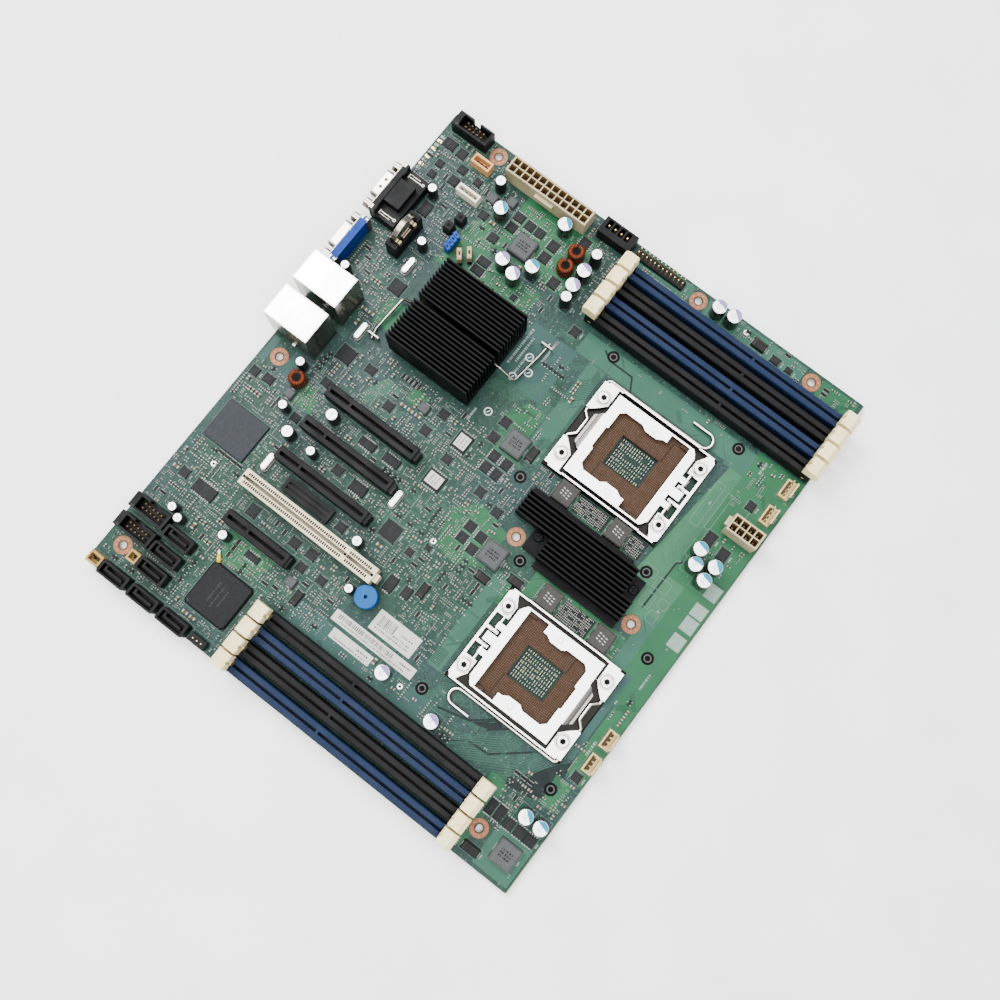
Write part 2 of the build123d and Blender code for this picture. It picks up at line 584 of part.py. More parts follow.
def power_housing(x, y, columns, rows, latch_side):
    """A two-row power housing with its latch ledge on the side given."""
    half_x = 0.5 * columns * POWER_PITCH + POWER_WALL
    half_y = 0.5 * rows * POWER_PITCH + POWER_WALL
    body = block(x - half_x, x + half_x, y - half_y, y + half_y, 0, POWER_H)
    body -= cell_grid(x, y, columns, rows, POWER_PITCH, POWER_CELL, POWER_CELL_FLOOR, POWER_H + 1)
    dx, dy, length = latch_side
    if dx:
        edge = x + dx * half_x
        ledge = sorted((edge, edge + dx * POWER_LEDGE))
        body += block(*ledge, y - length / 2, y + length / 2, 6.5, 9.5)
    else:
        edge = y + dy * half_y
        ledge = sorted((edge, edge + dy * POWER_LEDGE))
        body += block(x - length / 2, x + length / 2, *ledge, 6.5, 9.5)
    return body


def shrouded_header(x, y, w, d, h, notch):
    """An open-topped box with two rows of pins and a polarising notch on one side."""
    body = block(x - w / 2, x + w / 2, y - d / 2, y + d / 2, 0, h)
    body -= block(x - w / 2 + 1.2, x + w / 2 - 1.2, y - d / 2 + 3.4, y + d / 2 - 1.4, 2.0, h + 1)
    edge = x + notch * w / 2
    gap = sorted((edge, edge - notch * 1.3))
    body -= block(*gap, y - 2.2, y + 2.2, 3.0, h + 1)
    return body


def make_connectors():
    main = power_housing(295.2, 69.4, 2, 12, (-1, 0, 11.5))
    save("main_power_connector", main)
    save("cpu_power_connector", power_housing(211.2, 254.9, 2, 4, (0, -1, 5.0)))
    aux = block(294.3, 304.0, 101.0, 121.2, 0, 9.0)
    aux -= [block(297.8, 303.0, 103.2 + i * 3.9, 106.0 + i * 3.9, 2.5, 10) for i in range(4)]
    save("psu_signal_connector", aux)
    headers = [shrouded_header(299.7, 14.9, 8.9, 22.4, BOX_HEADER_H, 1)]
    headers += [shrouded_header(x, 12.2, 8.6, 21.6, BOX_HEADER_H, 1) for x in (27.1, 38.9)]
    save("box_headers", *headers)
    pins = serial_port_pins()
    for x, y in ((27.1, 13.2), (38.9, 13.2), (299.7, 15.9)):
        for column in (-0.5, 0.5):
            for row in range(-2, 3):
                px, py = x + column * PIN_PITCH, y + row * PIN_PITCH
                pins.append(block(px - PIN_HALF, px + PIN_HALF, py - PIN_HALF, py + PIN_HALF, 2.0, 7.4))
    save("connector_pins", *pins)


def sata_header(x, y):
    """An upright drive connector: a ring with the contact blade in the middle."""
    body = block(x - SATA_HALF_W, x + SATA_HALF_W, y - SATA_HALF_L, y + SATA_HALF_L, 0, SATA_H)
    body = chamfer(body.edges().filter_by(Axis.Z), 0.7)
    body -= block(x - 2.5, x + 2.4, y - 7.0, y + 7.0, 2.5, SATA_H + 1)
    body += block(x - 0.9, x + 0.3, y - 5.6, y + 5.6, 2.0, 7.6)
    body += block(x - 0.9, x + 1.9, y - 5.6, y - 4.4, 2.0, 7.6)
    return body


def make_small_connectors():
    sata = [sata_header(2.9, y) for y in (18.6, 37.6, 56.6)]
    sata += [sata_header(x, 32.4) for x in (15.7, 26.0, 36.3)]
    save("sata_connectors", *sata)
    fans = []
    for x, y in ((74.1, 262.4), (88.4, 262.4), (227.1, 260.0), (243.9, 260.0)):
        body = block(x - FAN_HALF_L, x + FAN_HALF_L, y - 2.8, y + 2.8, 0, FAN_BASE_H)
        body += block(x - 4.2, x + 4.2, y + 1.8, y + 2.8, FAN_BASE_H, FAN_WALL_H)
        for i in range(4):
            pin_x = x + (i - 1.5) * PIN_PITCH
            body += block(pin_x - PIN_HALF, pin_x + PIN_HALF, y - 0.82, y - 0.18, FAN_BASE_H, 9.4)
        fans.append(body)
    strips = []
    for x, y, w, d, h in ((299.5, 139.4, 5.4, 31.0, 2.5), (243.8, 43.8, 11.2, 4.6, 6.6),
                          (249.5, 37.6, 5.0, 5.0, 7.4), (256.6, 39.7, 5.2, 5.4, 7.4),
                          (3.2, 72.2, 5.0, 10.4, 6.4)):
        strips.append(package(x, y, w, d, h, 0.3))
    save("pin_headers", *strips)
    wafers = []
    for x, y, w, d in ((270.2, 34.4, 4.6, 13.4), (288.2, 29.8, 5.6, 11.4), (15.9, 20.0, 6.0, 5.8),
                       (3.5, 5.4, 6.2, 7.6)):
        body = block(x - w / 2, x + w / 2, y - d / 2, y + d / 2, 0, WAFER_H)
        body -= block(x - w / 2 + 1.2, x + w / 2 - 1.2, y - d / 2 + 0.9, y + d / 2 - 0.9, 2.0, WAFER_H + 1)
        wafers.append(body)
    save("fan_and_wafer_headers", *fans, *wafers)


# ---- Expansion slots ----
def edge_slot(x, y0, y1, w, h, slit, key_y, key_l=1.4, depth=7.5):
    body = block(x - w / 2, x + w / 2, y0, y1, 0, h)
    body = chamfer(body.edges().group_by(Axis.Z)[-1].filter_by(Axis.Y), 0.35)
    body -= block(x - slit / 2, x + slit / 2, y0 + 1.6, y1 - 1.6, h - depth, h)
    body += block(x - slit / 2, x + slit / 2, key_y - key_l / 2, key_y + key_l / 2, 1, h - 0.4)
    return body


def make_expansion_slots():
    pci = edge_slot(81.1, 38.2, 122.0, PCI_W, PCI_H, 1.8, 104.0, 1.8)
    pci += block(78.9, 83.3, 122.0, 124.4, 0, 9.0)
    save("pci_slot", pci)
    slots = []
    for x, front, foot in ((60.66, 83.0, 1.6), (101.4, 100.2, 2.0), (121.6, 100.2, 2.0), (141.9, 100.2, 2.0)):
        slot = edge_slot(x, 44.0, front, CARD_SLOT_W, CARD_SLOT_H, 2.0, 58.2)
        slots.append(slot + block(x - 2.9, x + 2.9, front, front + foot, 0, 9.6))
    save("pcie_slots", *slots)
    mezzanine = block(87.5, 95.1, 55.6, 85.0, 0, MEZZANINE_H)
    mezzanine -= block(89.3, 93.3, 57.4, 83.2, 2.4, MEZZANINE_H + 1)
    mezzanine += block(90.6, 92.0, 57.4, 83.2, 2.0, 3.8)
    save("mezzanine_connector", mezzanine)


# ---- Capacitors, inductors and crystals ----
POLYMER_SPOTS = [
    (272.4, 54.4), (256.9, 86.7), (285.7, 86.4), (183.1, 244.6), (190.9, 242.2), (179.1, 252.7),
    (187.7, 253.3), (35.3, 251.5), (35.3, 260.3), (250.9, 72.0), (247.7, 81.0), (261.7, 109.4),
    (271.5, 109.4), (298.4, 176.5), (298.9, 185.4), (46.9, 154.5), (42.9, 187.8),
]
SLEEVED_SPOTS = [
    (47.2, 19.7, 2.5, 9), (44.5, 25.6, 2.5, 9), (51.6, 49.5, 2.6, 11), (111.3, 57.2, 2.6, 11),
    (121.4, 30.9, 2.6, 11), (144.3, 23.7, 2.6, 11), (198.6, 9.3, 2.5, 11), (259.4, 19.1, 2.6, 11),
    (232.9, 32.8, 2.6, 11), (284.4, 45.1, 3.0, 11), (253.7, 110.8, 3.1, 14), (281.5, 109.8, 3.1, 14),
    (69.0, 115.8, 2.5, 11), (89.9, 104.3, 2.8, 11), (112.0, 41.5, 3.3, 11), (132.4, 53.9, 3.3, 11),
]
TOROID_SPOTS = [(137.0, 26.6), (268.9, 99.4), (278.6, 99.4)]
POLYMER_R, POLYMER_H = 3.95, 11.5
TOROID_R, TOROID_HOLE_R, TOROID_H = 4.2, 1.5, 8.0
CRYSTAL_L, CRYSTAL_W, CRYSTAL_H = 10.2, 3.6, 3.6
CRYSTAL_RIM, CRYSTAL_FOOT_H = 0.4, 0.5
CRYSTAL_SPOTS = [(94.2, 41.4), (118.9, 105.0), (177.4, 35.6), (220.4, 33.2)]
GREY_INDUCTORS = [(126.1, 161.5), (178.4, 136.1), (264.9, 74.8), (14.8, 255.0)]
COUPLED_INDUCTORS = [(173.3, 171.8), (173.5, 204.6), (125.8, 197.3), (125.8, 229.9)]
SMALL_INDUCTORS = [(128.8, 27.2), (53.7, 89.5), (164.9, 87.2), (281.5, 54.8), (277.0, 45.2)]


def can(x, y, r, h):
    """A radial capacitor with a rolled rim, a base groove and a scored top."""
    body = post(x, y, r, 0.6, h)
    body = fillet(body.edges().group_by(Axis.Z)[-1], 0.45)
    body -= [at(x, y, 1.9) * Torus(r + 0.25, 0.45)]
    return body + post(x, y, r * 0.8, 0, 0.6)


def make_passives():
    save("polymer_capacitors", *[can(x, y, POLYMER_R, POLYMER_H) for x, y in POLYMER_SPOTS])
    save("electrolytic_capacitors", *[can(x, y, r, h) for x, y, r, h in SLEEVED_SPOTS])
    toroids = []
    for x, y in TOROID_SPOTS:
        ring = post(x, y, TOROID_R, 0.5, TOROID_H) - post(x, y, TOROID_HOLE_R, 0, 9)
        toroids.append(fillet(ring.edges(), 0.8) + post(x, y, TOROID_R - 1.2, 0, 1.4)
                       - post(x, y, TOROID_HOLE_R, 1.0, 9))
    moulded = [package(x, y, 12.4, 12.4, 4.8, 0.8) for x, y in GREY_INDUCTORS]
    moulded += [package(x, y, 11.6, 11.0, 5.2, 0.5) for x, y in COUPLED_INDUCTORS]
    moulded += [package(x, y, 5.2, 5.2, 3.0, 0.5) for x, y in SMALL_INDUCTORS]
    save("inductors", *moulded, *toroids)
    cans = []
    for x, y in CRYSTAL_SPOTS:
        outline = at(x, y) * SlotOverall(CRYSTAL_L, CRYSTAL_W)
        foot = at(x, y) * SlotOverall(CRYSTAL_L + 2 * CRYSTAL_RIM, CRYSTAL_W + 2 * CRYSTAL_RIM)
        upper = extrude(outline, CRYSTAL_H)
        cans.append(extrude(foot, CRYSTAL_FOOT_H) + fillet(upper.edges().group_by(Axis.Z)[-1], 0.5))
    save("crystals", *cans)


# ---- Chips and transistors ----
CHIPS = {
    "square": [
        (64.3, 10.9, 5, 5), (70.2, 51.3, 6.6, 5.6), (70.3, 78.4, 5.2, 5.6), (127.3, 5.2, 5, 4.6),
        (128.3, 13.5, 5, 5.5), (120.7, 37.6, 4.6, 4.6), (144.9, 38.4, 4.6, 4.6), (162.9, 37.3, 8.8, 8.8),
        (164.3, 52.4, 4.5, 5.5), (154.8, 71.8, 5, 5), (156.2, 94.7, 5, 5), (168.7, 96.9, 5, 5),
        (112.6, 72.3, 5, 5.4), (104.5, 113, 9.7, 9.7), (151.3, 112.8, 4.6, 5), (101.9, 127.2, 4, 4),
        (109.3, 133.3, 3, 3), (144.8, 149.7, 5, 5), (148.1, 136.7, 5, 5), (174.8, 124.8, 5.3, 5.3),
        (184.8, 124.8, 5.3, 5.3), (207.7, 35.4, 7.6, 7.6), (251.1, 20.3, 8, 5.6), (268.8, 10.7, 4, 4),
        (276, 10.5, 4, 4), (288, 8.1, 5.6, 7.2), (287.4, 16.6, 5.2, 5.2), (272.7, 22.4, 5, 5),
        (280.5, 22.4, 4.6, 4.6), (279.7, 33.3, 4, 4), (266.9, 46.9, 4.5, 4.5), (260.0, 58.6, 5, 5),
        (240.4, 87.1, 3, 3), (62.7, 88.7, 5, 5), (70.9, 88.9, 5.6, 5.6), (63.5, 101, 4.5, 5),
        (90.7, 91.9, 5, 5), (226, 250.4, 5, 4.5), (64.6, 260.6, 5, 5), (296.4, 215.8, 4, 5.5),
        (296.1, 224.4, 3, 4), (245.3, 124, 5, 5), (199.9, 243.6, 7, 5.6), (197.2, 253.6, 6.6, 5.6),
    ],
    "leaded": [
        (63.2, 24.9, 7, 12.6), (51.5, 66, 3.6, 8), (111.6, 86.3, 6, 9), (132.4, 75.6, 4.5, 9.2),
        (133.2, 90.8, 4.8, 9.2), (138.6, 114.3, 9, 10.4), (163, 113.5, 10, 8.3), (83.6, 129.6, 8.6, 5),
        (84.8, 138.8, 6, 4.4),
    ],
}
CHIP_H = 1.3
TRANSISTORS = [
    (124.1, 143.6, 5.2, 5.6), (131.1, 143.6, 5.2, 5.6), (122.2, 151.2, 5.2, 5.4),
    (129.8, 151.2, 5.2, 5.4), (160, 130.9, 5.4, 5.2), (167.3, 131, 5.4, 5.2), (160, 137.5, 5.4, 5.2),
    (167.3, 138.6, 5.4, 5.2), (270.8, 62.9, 5.2, 5.6), (277.7, 62.9, 5.2, 5.6), (277.2, 70.2, 5.4, 5.2),
    (277.2, 76.6, 5.4, 5.2), (268.0, 86.8, 5.8, 5.8), (275.8, 86.8, 5.8, 5.8), (259.6, 99.0, 6, 5.8),
    (287.2, 99.0, 6, 5.8), (241.0, 62.9, 4.6, 7), (246.6, 62.9, 4.6, 7), (28.3, 236, 8, 4.3),
    (28.3, 241.3, 8, 4.3), (27.0, 247.7, 5.8, 5.7), (27.0, 254.3, 5.8, 5.7), (26.9, 260.6, 5.8, 5.7),
]
HIDDEN_TRANSISTORS = [(143.0, y, 6.0, 5.0) for y in (186, 194, 202, 210, 218, 226)] + [
    (157.5, y, 6.0, 5.0) for y in (162, 170, 178, 186, 194, 202, 210)]
TANTALUMS = [
    (49.2, 96.8, 8, 4), (90.7, 144.7, 8, 4), (179.5, 146, 8, 4.3), (114, 164.1, 4.3, 7.5),
    (6.5, 240, 4.5, 9.5), (297.9, 204.4, 5, 8), (122.5, 178.5, 4.2, 8),
]


def make_chips():
    large = [
        package(26.5, 65.2, 25.6, 25.6, 2.6, 0.7, corner=1.6),
        package(97.0, 17.8, 23.0, 25.6, 1.9, 0.2),
        package(SINK_X, SINK_Y, 38.0, 38.0, SINK_FOOT_Z, 0.2),
    ]
    save("large_packages", *large)
    chips = [package(x, y, w, d, CHIP_H, 0.15) for group in CHIPS.values() for x, y, w, d in group]
    save("logic_chips", *chips)
    power = [package(x, y, w, d, 1.1, 0.15) for x, y, w, d in TRANSISTORS]
    power += [package(x, y, w, d, REG_BASE_Z, 0.1) for x, y, w, d in HIDDEN_TRANSISTORS]
    save("power_transistors", *power)
    save("tantalum_capacitors", *[package(x, y, w, d, 2.4, 0.4) for x, y, w, d in TANTALUMS])


# ---- Circuit board ----
def board_holes():
    """Every hole through the board: place and radius."""
    holes = [(x, y, MOUNT_HOLE_R) for x, y in MOUNT_HOLES]
    for cpu_x, cpu_y, _turn in CPU_PLACES.values():
        holes += [(cpu_x + u, cpu_y + v, COOLER_BOSS_R + HOLE_CLEARANCE) for u, v in BOSS_SPOTS]
        holes += [(cpu_x + u, cpu_y + v, FRAME_STUD_R + HOLE_CLEARANCE) for u, v in SCREW_SPOTS]
    for x in PORT_CENTRES:
        holes += [(leg_x, leg_y, LEG_R + HOLE_CLEARANCE) for leg_x, leg_y in port_leg_spots(x)]
    holes += [(x, y, 1.35) for x, y in ((147.2, 174.4), (154.8, 228.0))]
    return holes


def make_board():
    board = block(0, BOARD_X, 0, BOARD_Y, -BOARD_T, 0)
    board = fillet(board.edges().filter_by(Axis.Z), BOARD_CORNER_R)
    board -= [post(x, y, r, -BOARD_T - 1, 1) for x, y, r in board_holes()]
    save("circuit_board", board)


os.makedirs("parts", exist_ok=True)
make_board()
save("machine_screws", *make_sockets(), *make_regulator_sink())
make_memory()
make_chipset_sink()
make_network_ports()
make_dsub_ports()
make_battery()
make_buzzer()
make_connectors()
make_small_connectors()
make_expansion_slots()
make_passives()
make_chips()
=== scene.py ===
import math
import random

import bmesh
import bpy
from mathutils import Matrix, Vector


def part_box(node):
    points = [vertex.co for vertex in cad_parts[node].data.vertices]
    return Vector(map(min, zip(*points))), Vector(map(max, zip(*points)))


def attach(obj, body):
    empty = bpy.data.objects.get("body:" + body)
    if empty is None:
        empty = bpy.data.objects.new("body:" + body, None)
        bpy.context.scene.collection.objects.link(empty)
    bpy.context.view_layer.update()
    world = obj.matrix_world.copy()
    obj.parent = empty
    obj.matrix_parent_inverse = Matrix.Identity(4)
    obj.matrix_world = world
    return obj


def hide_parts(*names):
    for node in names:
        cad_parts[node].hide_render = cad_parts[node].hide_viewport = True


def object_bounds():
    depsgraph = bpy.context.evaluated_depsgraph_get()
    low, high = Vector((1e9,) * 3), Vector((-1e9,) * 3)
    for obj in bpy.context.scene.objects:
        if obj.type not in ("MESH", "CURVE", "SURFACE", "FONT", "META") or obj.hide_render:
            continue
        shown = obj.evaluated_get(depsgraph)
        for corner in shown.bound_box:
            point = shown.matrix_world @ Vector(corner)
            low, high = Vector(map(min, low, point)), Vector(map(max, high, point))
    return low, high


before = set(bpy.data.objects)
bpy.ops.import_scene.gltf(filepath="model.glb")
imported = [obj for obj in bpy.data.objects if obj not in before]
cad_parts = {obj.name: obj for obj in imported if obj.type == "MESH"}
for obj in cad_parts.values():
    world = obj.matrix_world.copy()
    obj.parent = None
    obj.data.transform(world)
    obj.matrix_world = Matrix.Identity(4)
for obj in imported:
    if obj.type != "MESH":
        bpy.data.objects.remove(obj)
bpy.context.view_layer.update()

BODY = "board"
MM = 0.001
BOARD_LOW, BOARD_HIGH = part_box("circuit_board")
BOARD_X = (BOARD_HIGH.x - BOARD_LOW.x) / MM
BOARD_Y = (BOARD_HIGH.y - BOARD_LOW.y) / MM
BOARD_T = (BOARD_HIGH.z - BOARD_LOW.z) / MM
RANDOM = random.Random(11)


def at(x, y, z=0.0):
    """A place in metres: x from the left edge, y from the rear edge, z above the board's top, in mm."""
    return Vector((BOARD_LOW.x + x * MM, BOARD_HIGH.y - y * MM, BOARD_HIGH.z + z * MM))


# ---------------------------------------------------------------- camera, lights, floor
CAMERA_PLACE = at(74.0, 203.16, 572.2)
CAMERA_AIM = at(150.97, 147.07, 0.0)
CAMERA_ROLL = math.radians(1.47)
CAMERA_LENS = 41.0


def make_camera():
    data = bpy.data.cameras.new("camera")
    data.lens = CAMERA_LENS
    data.sensor_width = 36.0
    camera = bpy.data.objects.new("camera", data)
    camera.matrix_world = facing(CAMERA_PLACE, CAMERA_AIM) @ Matrix.Rotation(CAMERA_ROLL, 4, "Z")
    bpy.context.collection.objects.link(camera)
    bpy.context.scene.camera = camera


def facing(place, aim):
    """The placement of a camera or light that stands at place and looks at aim."""
    return Matrix.Translation(place) @ (aim - place).to_track_quat("-Z", "Y").to_matrix().to_4x4()


def area_light(name, place, aim, size, power):
    data = bpy.data.lights.new(name, "AREA")
    data.shape = "DISK"
    data.size = size
    data.energy = power
    light = bpy.data.objects.new(name, data)
    light.matrix_world = facing(place, aim)
    bpy.context.collection.objects.link(light)


RANGE_SOCKETS = ("From Min", "From Max", "To Min", "To Max")


def make_lights():
    middle = at(BOARD_X / 2, BOARD_Y / 2)
    area_light("key", middle + Vector((0.35, 0.95, 1.3)), middle, 0.9, 36.0)
    area_light("fill", middle + Vector((-0.9, -0.5, 1.2)), middle, 1.4, 17.0)
    area_light("overhead", middle + Vector((0.1, 0.15, 1.7)), middle, 2.4, 78.0)
    world = bpy.data.worlds.new("studio")
    world.use_nodes = True
    nodes, links = world.node_tree.nodes, world.node_tree.links
    split = nodes.new("ShaderNodeSeparateXYZ")
    links.new(nodes.new("ShaderNodeTexCoord").outputs["Generated"], split.inputs["Vector"])
    fade = nodes.new("ShaderNodeMapRange")
    for socket, number in zip(RANGE_SOCKETS, (0.10, 0.80, 0.36, 0.76)):
        fade.inputs[socket].default_value = number
    links.new(split.outputs["Z"], fade.inputs["Value"])
    links.new(fade.outputs["Result"], nodes["Background"].inputs["Strength"])
    nodes["Background"].inputs["Color"].default_value = (0.95, 0.97, 1.0, 1)
    bpy.context.scene.world = world


# ---------------------------------------------------------------- materials
LOOKS = {}


class Nodes:
    """A material's node tree, with its principled shader and short ways to add nodes.

    Where a method takes a value, it may be a number, a colour or another node's output."""

    def __init__(self, name):
        self.material = bpy.data.materials.new(name)
        self.material.use_nodes = True
        self.tree = self.material.node_tree
        self.shader = self.tree.nodes["Principled BSDF"]
        coordinates = self.new("ShaderNodeTexCoord")
        self.place, self.normal = coordinates.outputs["Object"], coordinates.outputs["Normal"]
        LOOKS[name] = self.material

    def feed(self, socket, value):
        """Links that output to the socket, or sets the socket to that number or colour."""
        if isinstance(value, bpy.types.NodeSocket):
            self.tree.links.new(value, socket)
        else:
            socket.default_value = value

    def new(self, kind, sockets=(), **settings):
        node = self.tree.nodes.new(kind)
        for key, value in settings.items():
            setattr(node, key, value)
        for name, value in dict(sockets).items():
            self.feed(node.inputs[name], value)
        return node

    def noise(self, scale, detail=3.0, stretch=(1, 1, 1)):
        mapping = self.new("ShaderNodeMapping", {"Vector": self.place, "Scale": stretch})
        sockets = {"Vector": mapping.outputs["Vector"], "Scale": scale, "Detail": detail}
        return self.new("ShaderNodeTexNoise", sockets).outputs["Fac"]

    def span(self, value, *numbers):
        """That value's range between the first two numbers, spread between the other two."""
        sockets = dict(zip(RANGE_SOCKETS, numbers), Value=value)
        return self.new("ShaderNodeMapRange", sockets).outputs["Result"]

    def math(self, operation, *values):
        node = self.new("ShaderNodeMath", operation=operation)
        for socket, value in zip(node.inputs, values):
            self.feed(socket, value)
        return node.outputs["Value"]

    def mix(self, factor, first, second):
        node = self.new("ShaderNodeMix", {"Factor": factor}, data_type="RGBA")
        colour_inputs = [socket for socket in node.inputs if socket.type == "RGBA"]
        for socket, value in zip(colour_inputs, (first, second)):
            self.feed(socket, (*value, 1) if isinstance(value, tuple) else value)
        return [socket for socket in node.outputs if socket.type == "RGBA"][0]

    def axes(self, vector):
        split = self.new("ShaderNodeSeparateXYZ", {"Vector": vector})
        return split.outputs["X"], split.outputs["Y"], split.outputs["Z"]

    def inside(self, x, y, half_x, half_y):
        """1 inside that rectangle of the board, which is given in board millimetres, else 0."""
        centre = at(x, y)
        along, across, _up = self.axes(self.place)
        near_x = self.math("COMPARE", along, centre.x, half_x * MM)
        near_y = self.math("COMPARE", across, centre.y, half_y * MM)
        return self.math("MULTIPLY", near_x, near_y)

    def creased(self, colour, reach):
        """The colour, darkened by painted shade in creases and narrow gaps."""
        shut = self.new("ShaderNodeAmbientOcclusion", {"Distance": reach}, samples=6)
        factor = self.span(shut.outputs["AO"], 0.25, 0.95, 0.85, 0.0)
        return self.mix(factor, colour, (0.004, 0.004, 0.004))

    def edge_shaded(self, colour, reach):
        """The colour, darkened along its edges by painted shade."""
        soft = self.new("ShaderNodeBevel", {"Radius": reach}, samples=4)
        along = self.new("ShaderNodeVectorMath", operation="DOT_PRODUCT")
        self.feed(along.inputs[0], soft.outputs["Normal"])
        self.feed(along.inputs[1], self.new("ShaderNodeNewGeometry").outputs["True Normal"])
        near = self.span(along.outputs["Value"], 0.86, 0.998, 0.8, 0.0)
        return self.mix(near, colour, (0.03, 0.026, 0.02))

    def side_shaded(self, colour, side):
        """The colour on faces that look up or down, and the side colour, a painted shade, on upright ones."""
        upward = self.math("ABSOLUTE", self.axes(self.normal)[2])
        return self.mix(self.span(upward, 0.45, 0.85, 0.0, 1.0), side, colour)

    def set(self, colour, rough=None, bump=None, depth=0.0002, edge=0.0, **fixed):
        self.feed(self.shader.inputs["Base Color"], colour)
        if rough is not None:
            self.feed(self.shader.inputs["Roughness"], rough)
        if bump is not None:
            node = self.new("ShaderNodeBump", {"Distance": depth, "Strength": 0.5, "Height": bump})
            self.feed(self.shader.inputs["Normal"], node.outputs["Normal"])
            if edge:
                soft = self.new("ShaderNodeBevel", {"Radius": edge}, samples=3)
                self.feed(node.inputs["Normal"], soft.outputs["Normal"])
        for name, value in fixed.items():
            self.shader.inputs[name.replace("_", " ")].default_value = value


def surface(name, dark, light, rough, metal=0.0, grain=700.0, depth=0.00005, stretch=(1, 1, 1),
            places=(), specular=0.12, edge=0.0, crease=0.0, side=None, edge_shade=0.0):
    """A material that drifts between two colours; places are (x, y, half_x, half_y, dark, light)."""
    look = Nodes(name)
    drift = look.span(look.noise(grain, 4.0, stretch), 0.3, 0.7, 0.0, 1.0)
    colour = look.mix(drift, dark, light)
    for x, y, half_x, half_y, place_dark, place_light in places:
        own_colour = look.mix(drift, place_dark, place_light)
        colour = look.mix(look.inside(x, y, half_x, half_y), colour, own_colour)
    # Painted shade: the side colour on upright faces, and darkening in creases and along edges.
    if side:
        colour = look.side_shaded(colour, side)
    if crease:
        colour = look.creased(colour, crease)
    if edge_shade:
        colour = look.edge_shaded(colour, edge_shade)
    broad = look.noise(grain * 0.35, 3.0, stretch)
    rough_drift = look.span(broad, 0.3, 0.7, rough * 0.8, min(1.0, rough * 1.2))
    look.set(colour, rough_drift, look.noise(grain * 4, 2.0, stretch), depth, edge,
             Metallic=metal, Coat_Roughness=0.2, Specular_IOR_Level=specular)
    return look, colour


def shade(colour, factor):
    return tuple(min(1.0, channel * factor) for channel in colour)


def plain(name, colour, rough, metal=0.0, spread=0.12, **more):
    """A surface about one colour."""
    return surface(name, shade(colour, 1 - spread), shade(colour, 1 + spread), rough, metal, **more)


MASK_GREEN = (0.0110, 0.043, 0.026)
MASK_TEAL = (0.0180, 0.0425, 0.0405)
MASK_DARK = (0.0016, 0.0058, 0.0056)


def make_board_look():
    """Solder mask over copper: broad tone changes, fine routing texture, dots, and a tan laminate edge."""
    look = Nodes("board")
    broad = look.span(look.noise(14.0, 3.0), 0.42, 0.6, 0.0, 1.0)
    diagonal = look.new("ShaderNodeMapping", {"Vector": look.place, "Rotation": (0, 0, math.radians(45))})
    rows = []
    for place, scale, gap, width, height in ((diagonal.outputs["Vector"], 330.0, 0.016, 3.7, 0.30),
                                             (look.place, 300.0, 0.02, 5.1, 0.36)):
        sockets = {"Vector": place, "Scale": scale, "Mortar Size": gap, "Brick Width": width,
                   "Row Height": height}
        rows.append(look.new("ShaderNodeTexBrick", sockets).outputs["Color"])
    patches = look.span(look.noise(60.0, 2.0), 0.48, 0.52, 0.0, 1.0)
    grey = look.new("ShaderNodeRGBToBW", {"Color": look.mix(patches, *rows)}).outputs["Val"]
    lined = look.span(grey, 0.1, 0.8, 0.0, 0.42)
    ground = look.mix(broad, MASK_GREEN, MASK_TEAL)
    fine = look.mix(look.span(look.noise(900.0, 3.0), 0.35, 0.65, 0.0, 0.35), ground, shade(MASK_TEAL, 0.6))
    mask = look.mix(lined, fine, shade(MASK_DARK, 1.6))
    for scale, radius, colour in ((640.0, 0.17, shade(MASK_TEAL, 1.9)), (410.0, 0.13, MASK_DARK),
                                  (300.0, 0.10, (0.10, 0.115, 0.095))):
        dots = look.new("ShaderNodeTexVoronoi", {"Vector": look.place, "Scale": scale})
        mask = look.mix(look.span(dots.outputs["Distance"], radius, radius + 0.05, 0.85, 0.0), mask, colour)
    flat = look.math("GREATER_THAN", look.math("ABSOLUTE", look.axes(look.normal)[2]), 0.5)
    rough = look.span(look.noise(120.0, 3.0), 0.3, 0.7, 0.30, 0.48)
    look.set(look.mix(flat, (0.40, 0.39, 0.23), mask), rough, grey, 0.00002, Specular_IOR_Level=0.12)


FLAT = {"grain": 60.0, "depth": 0.00001}

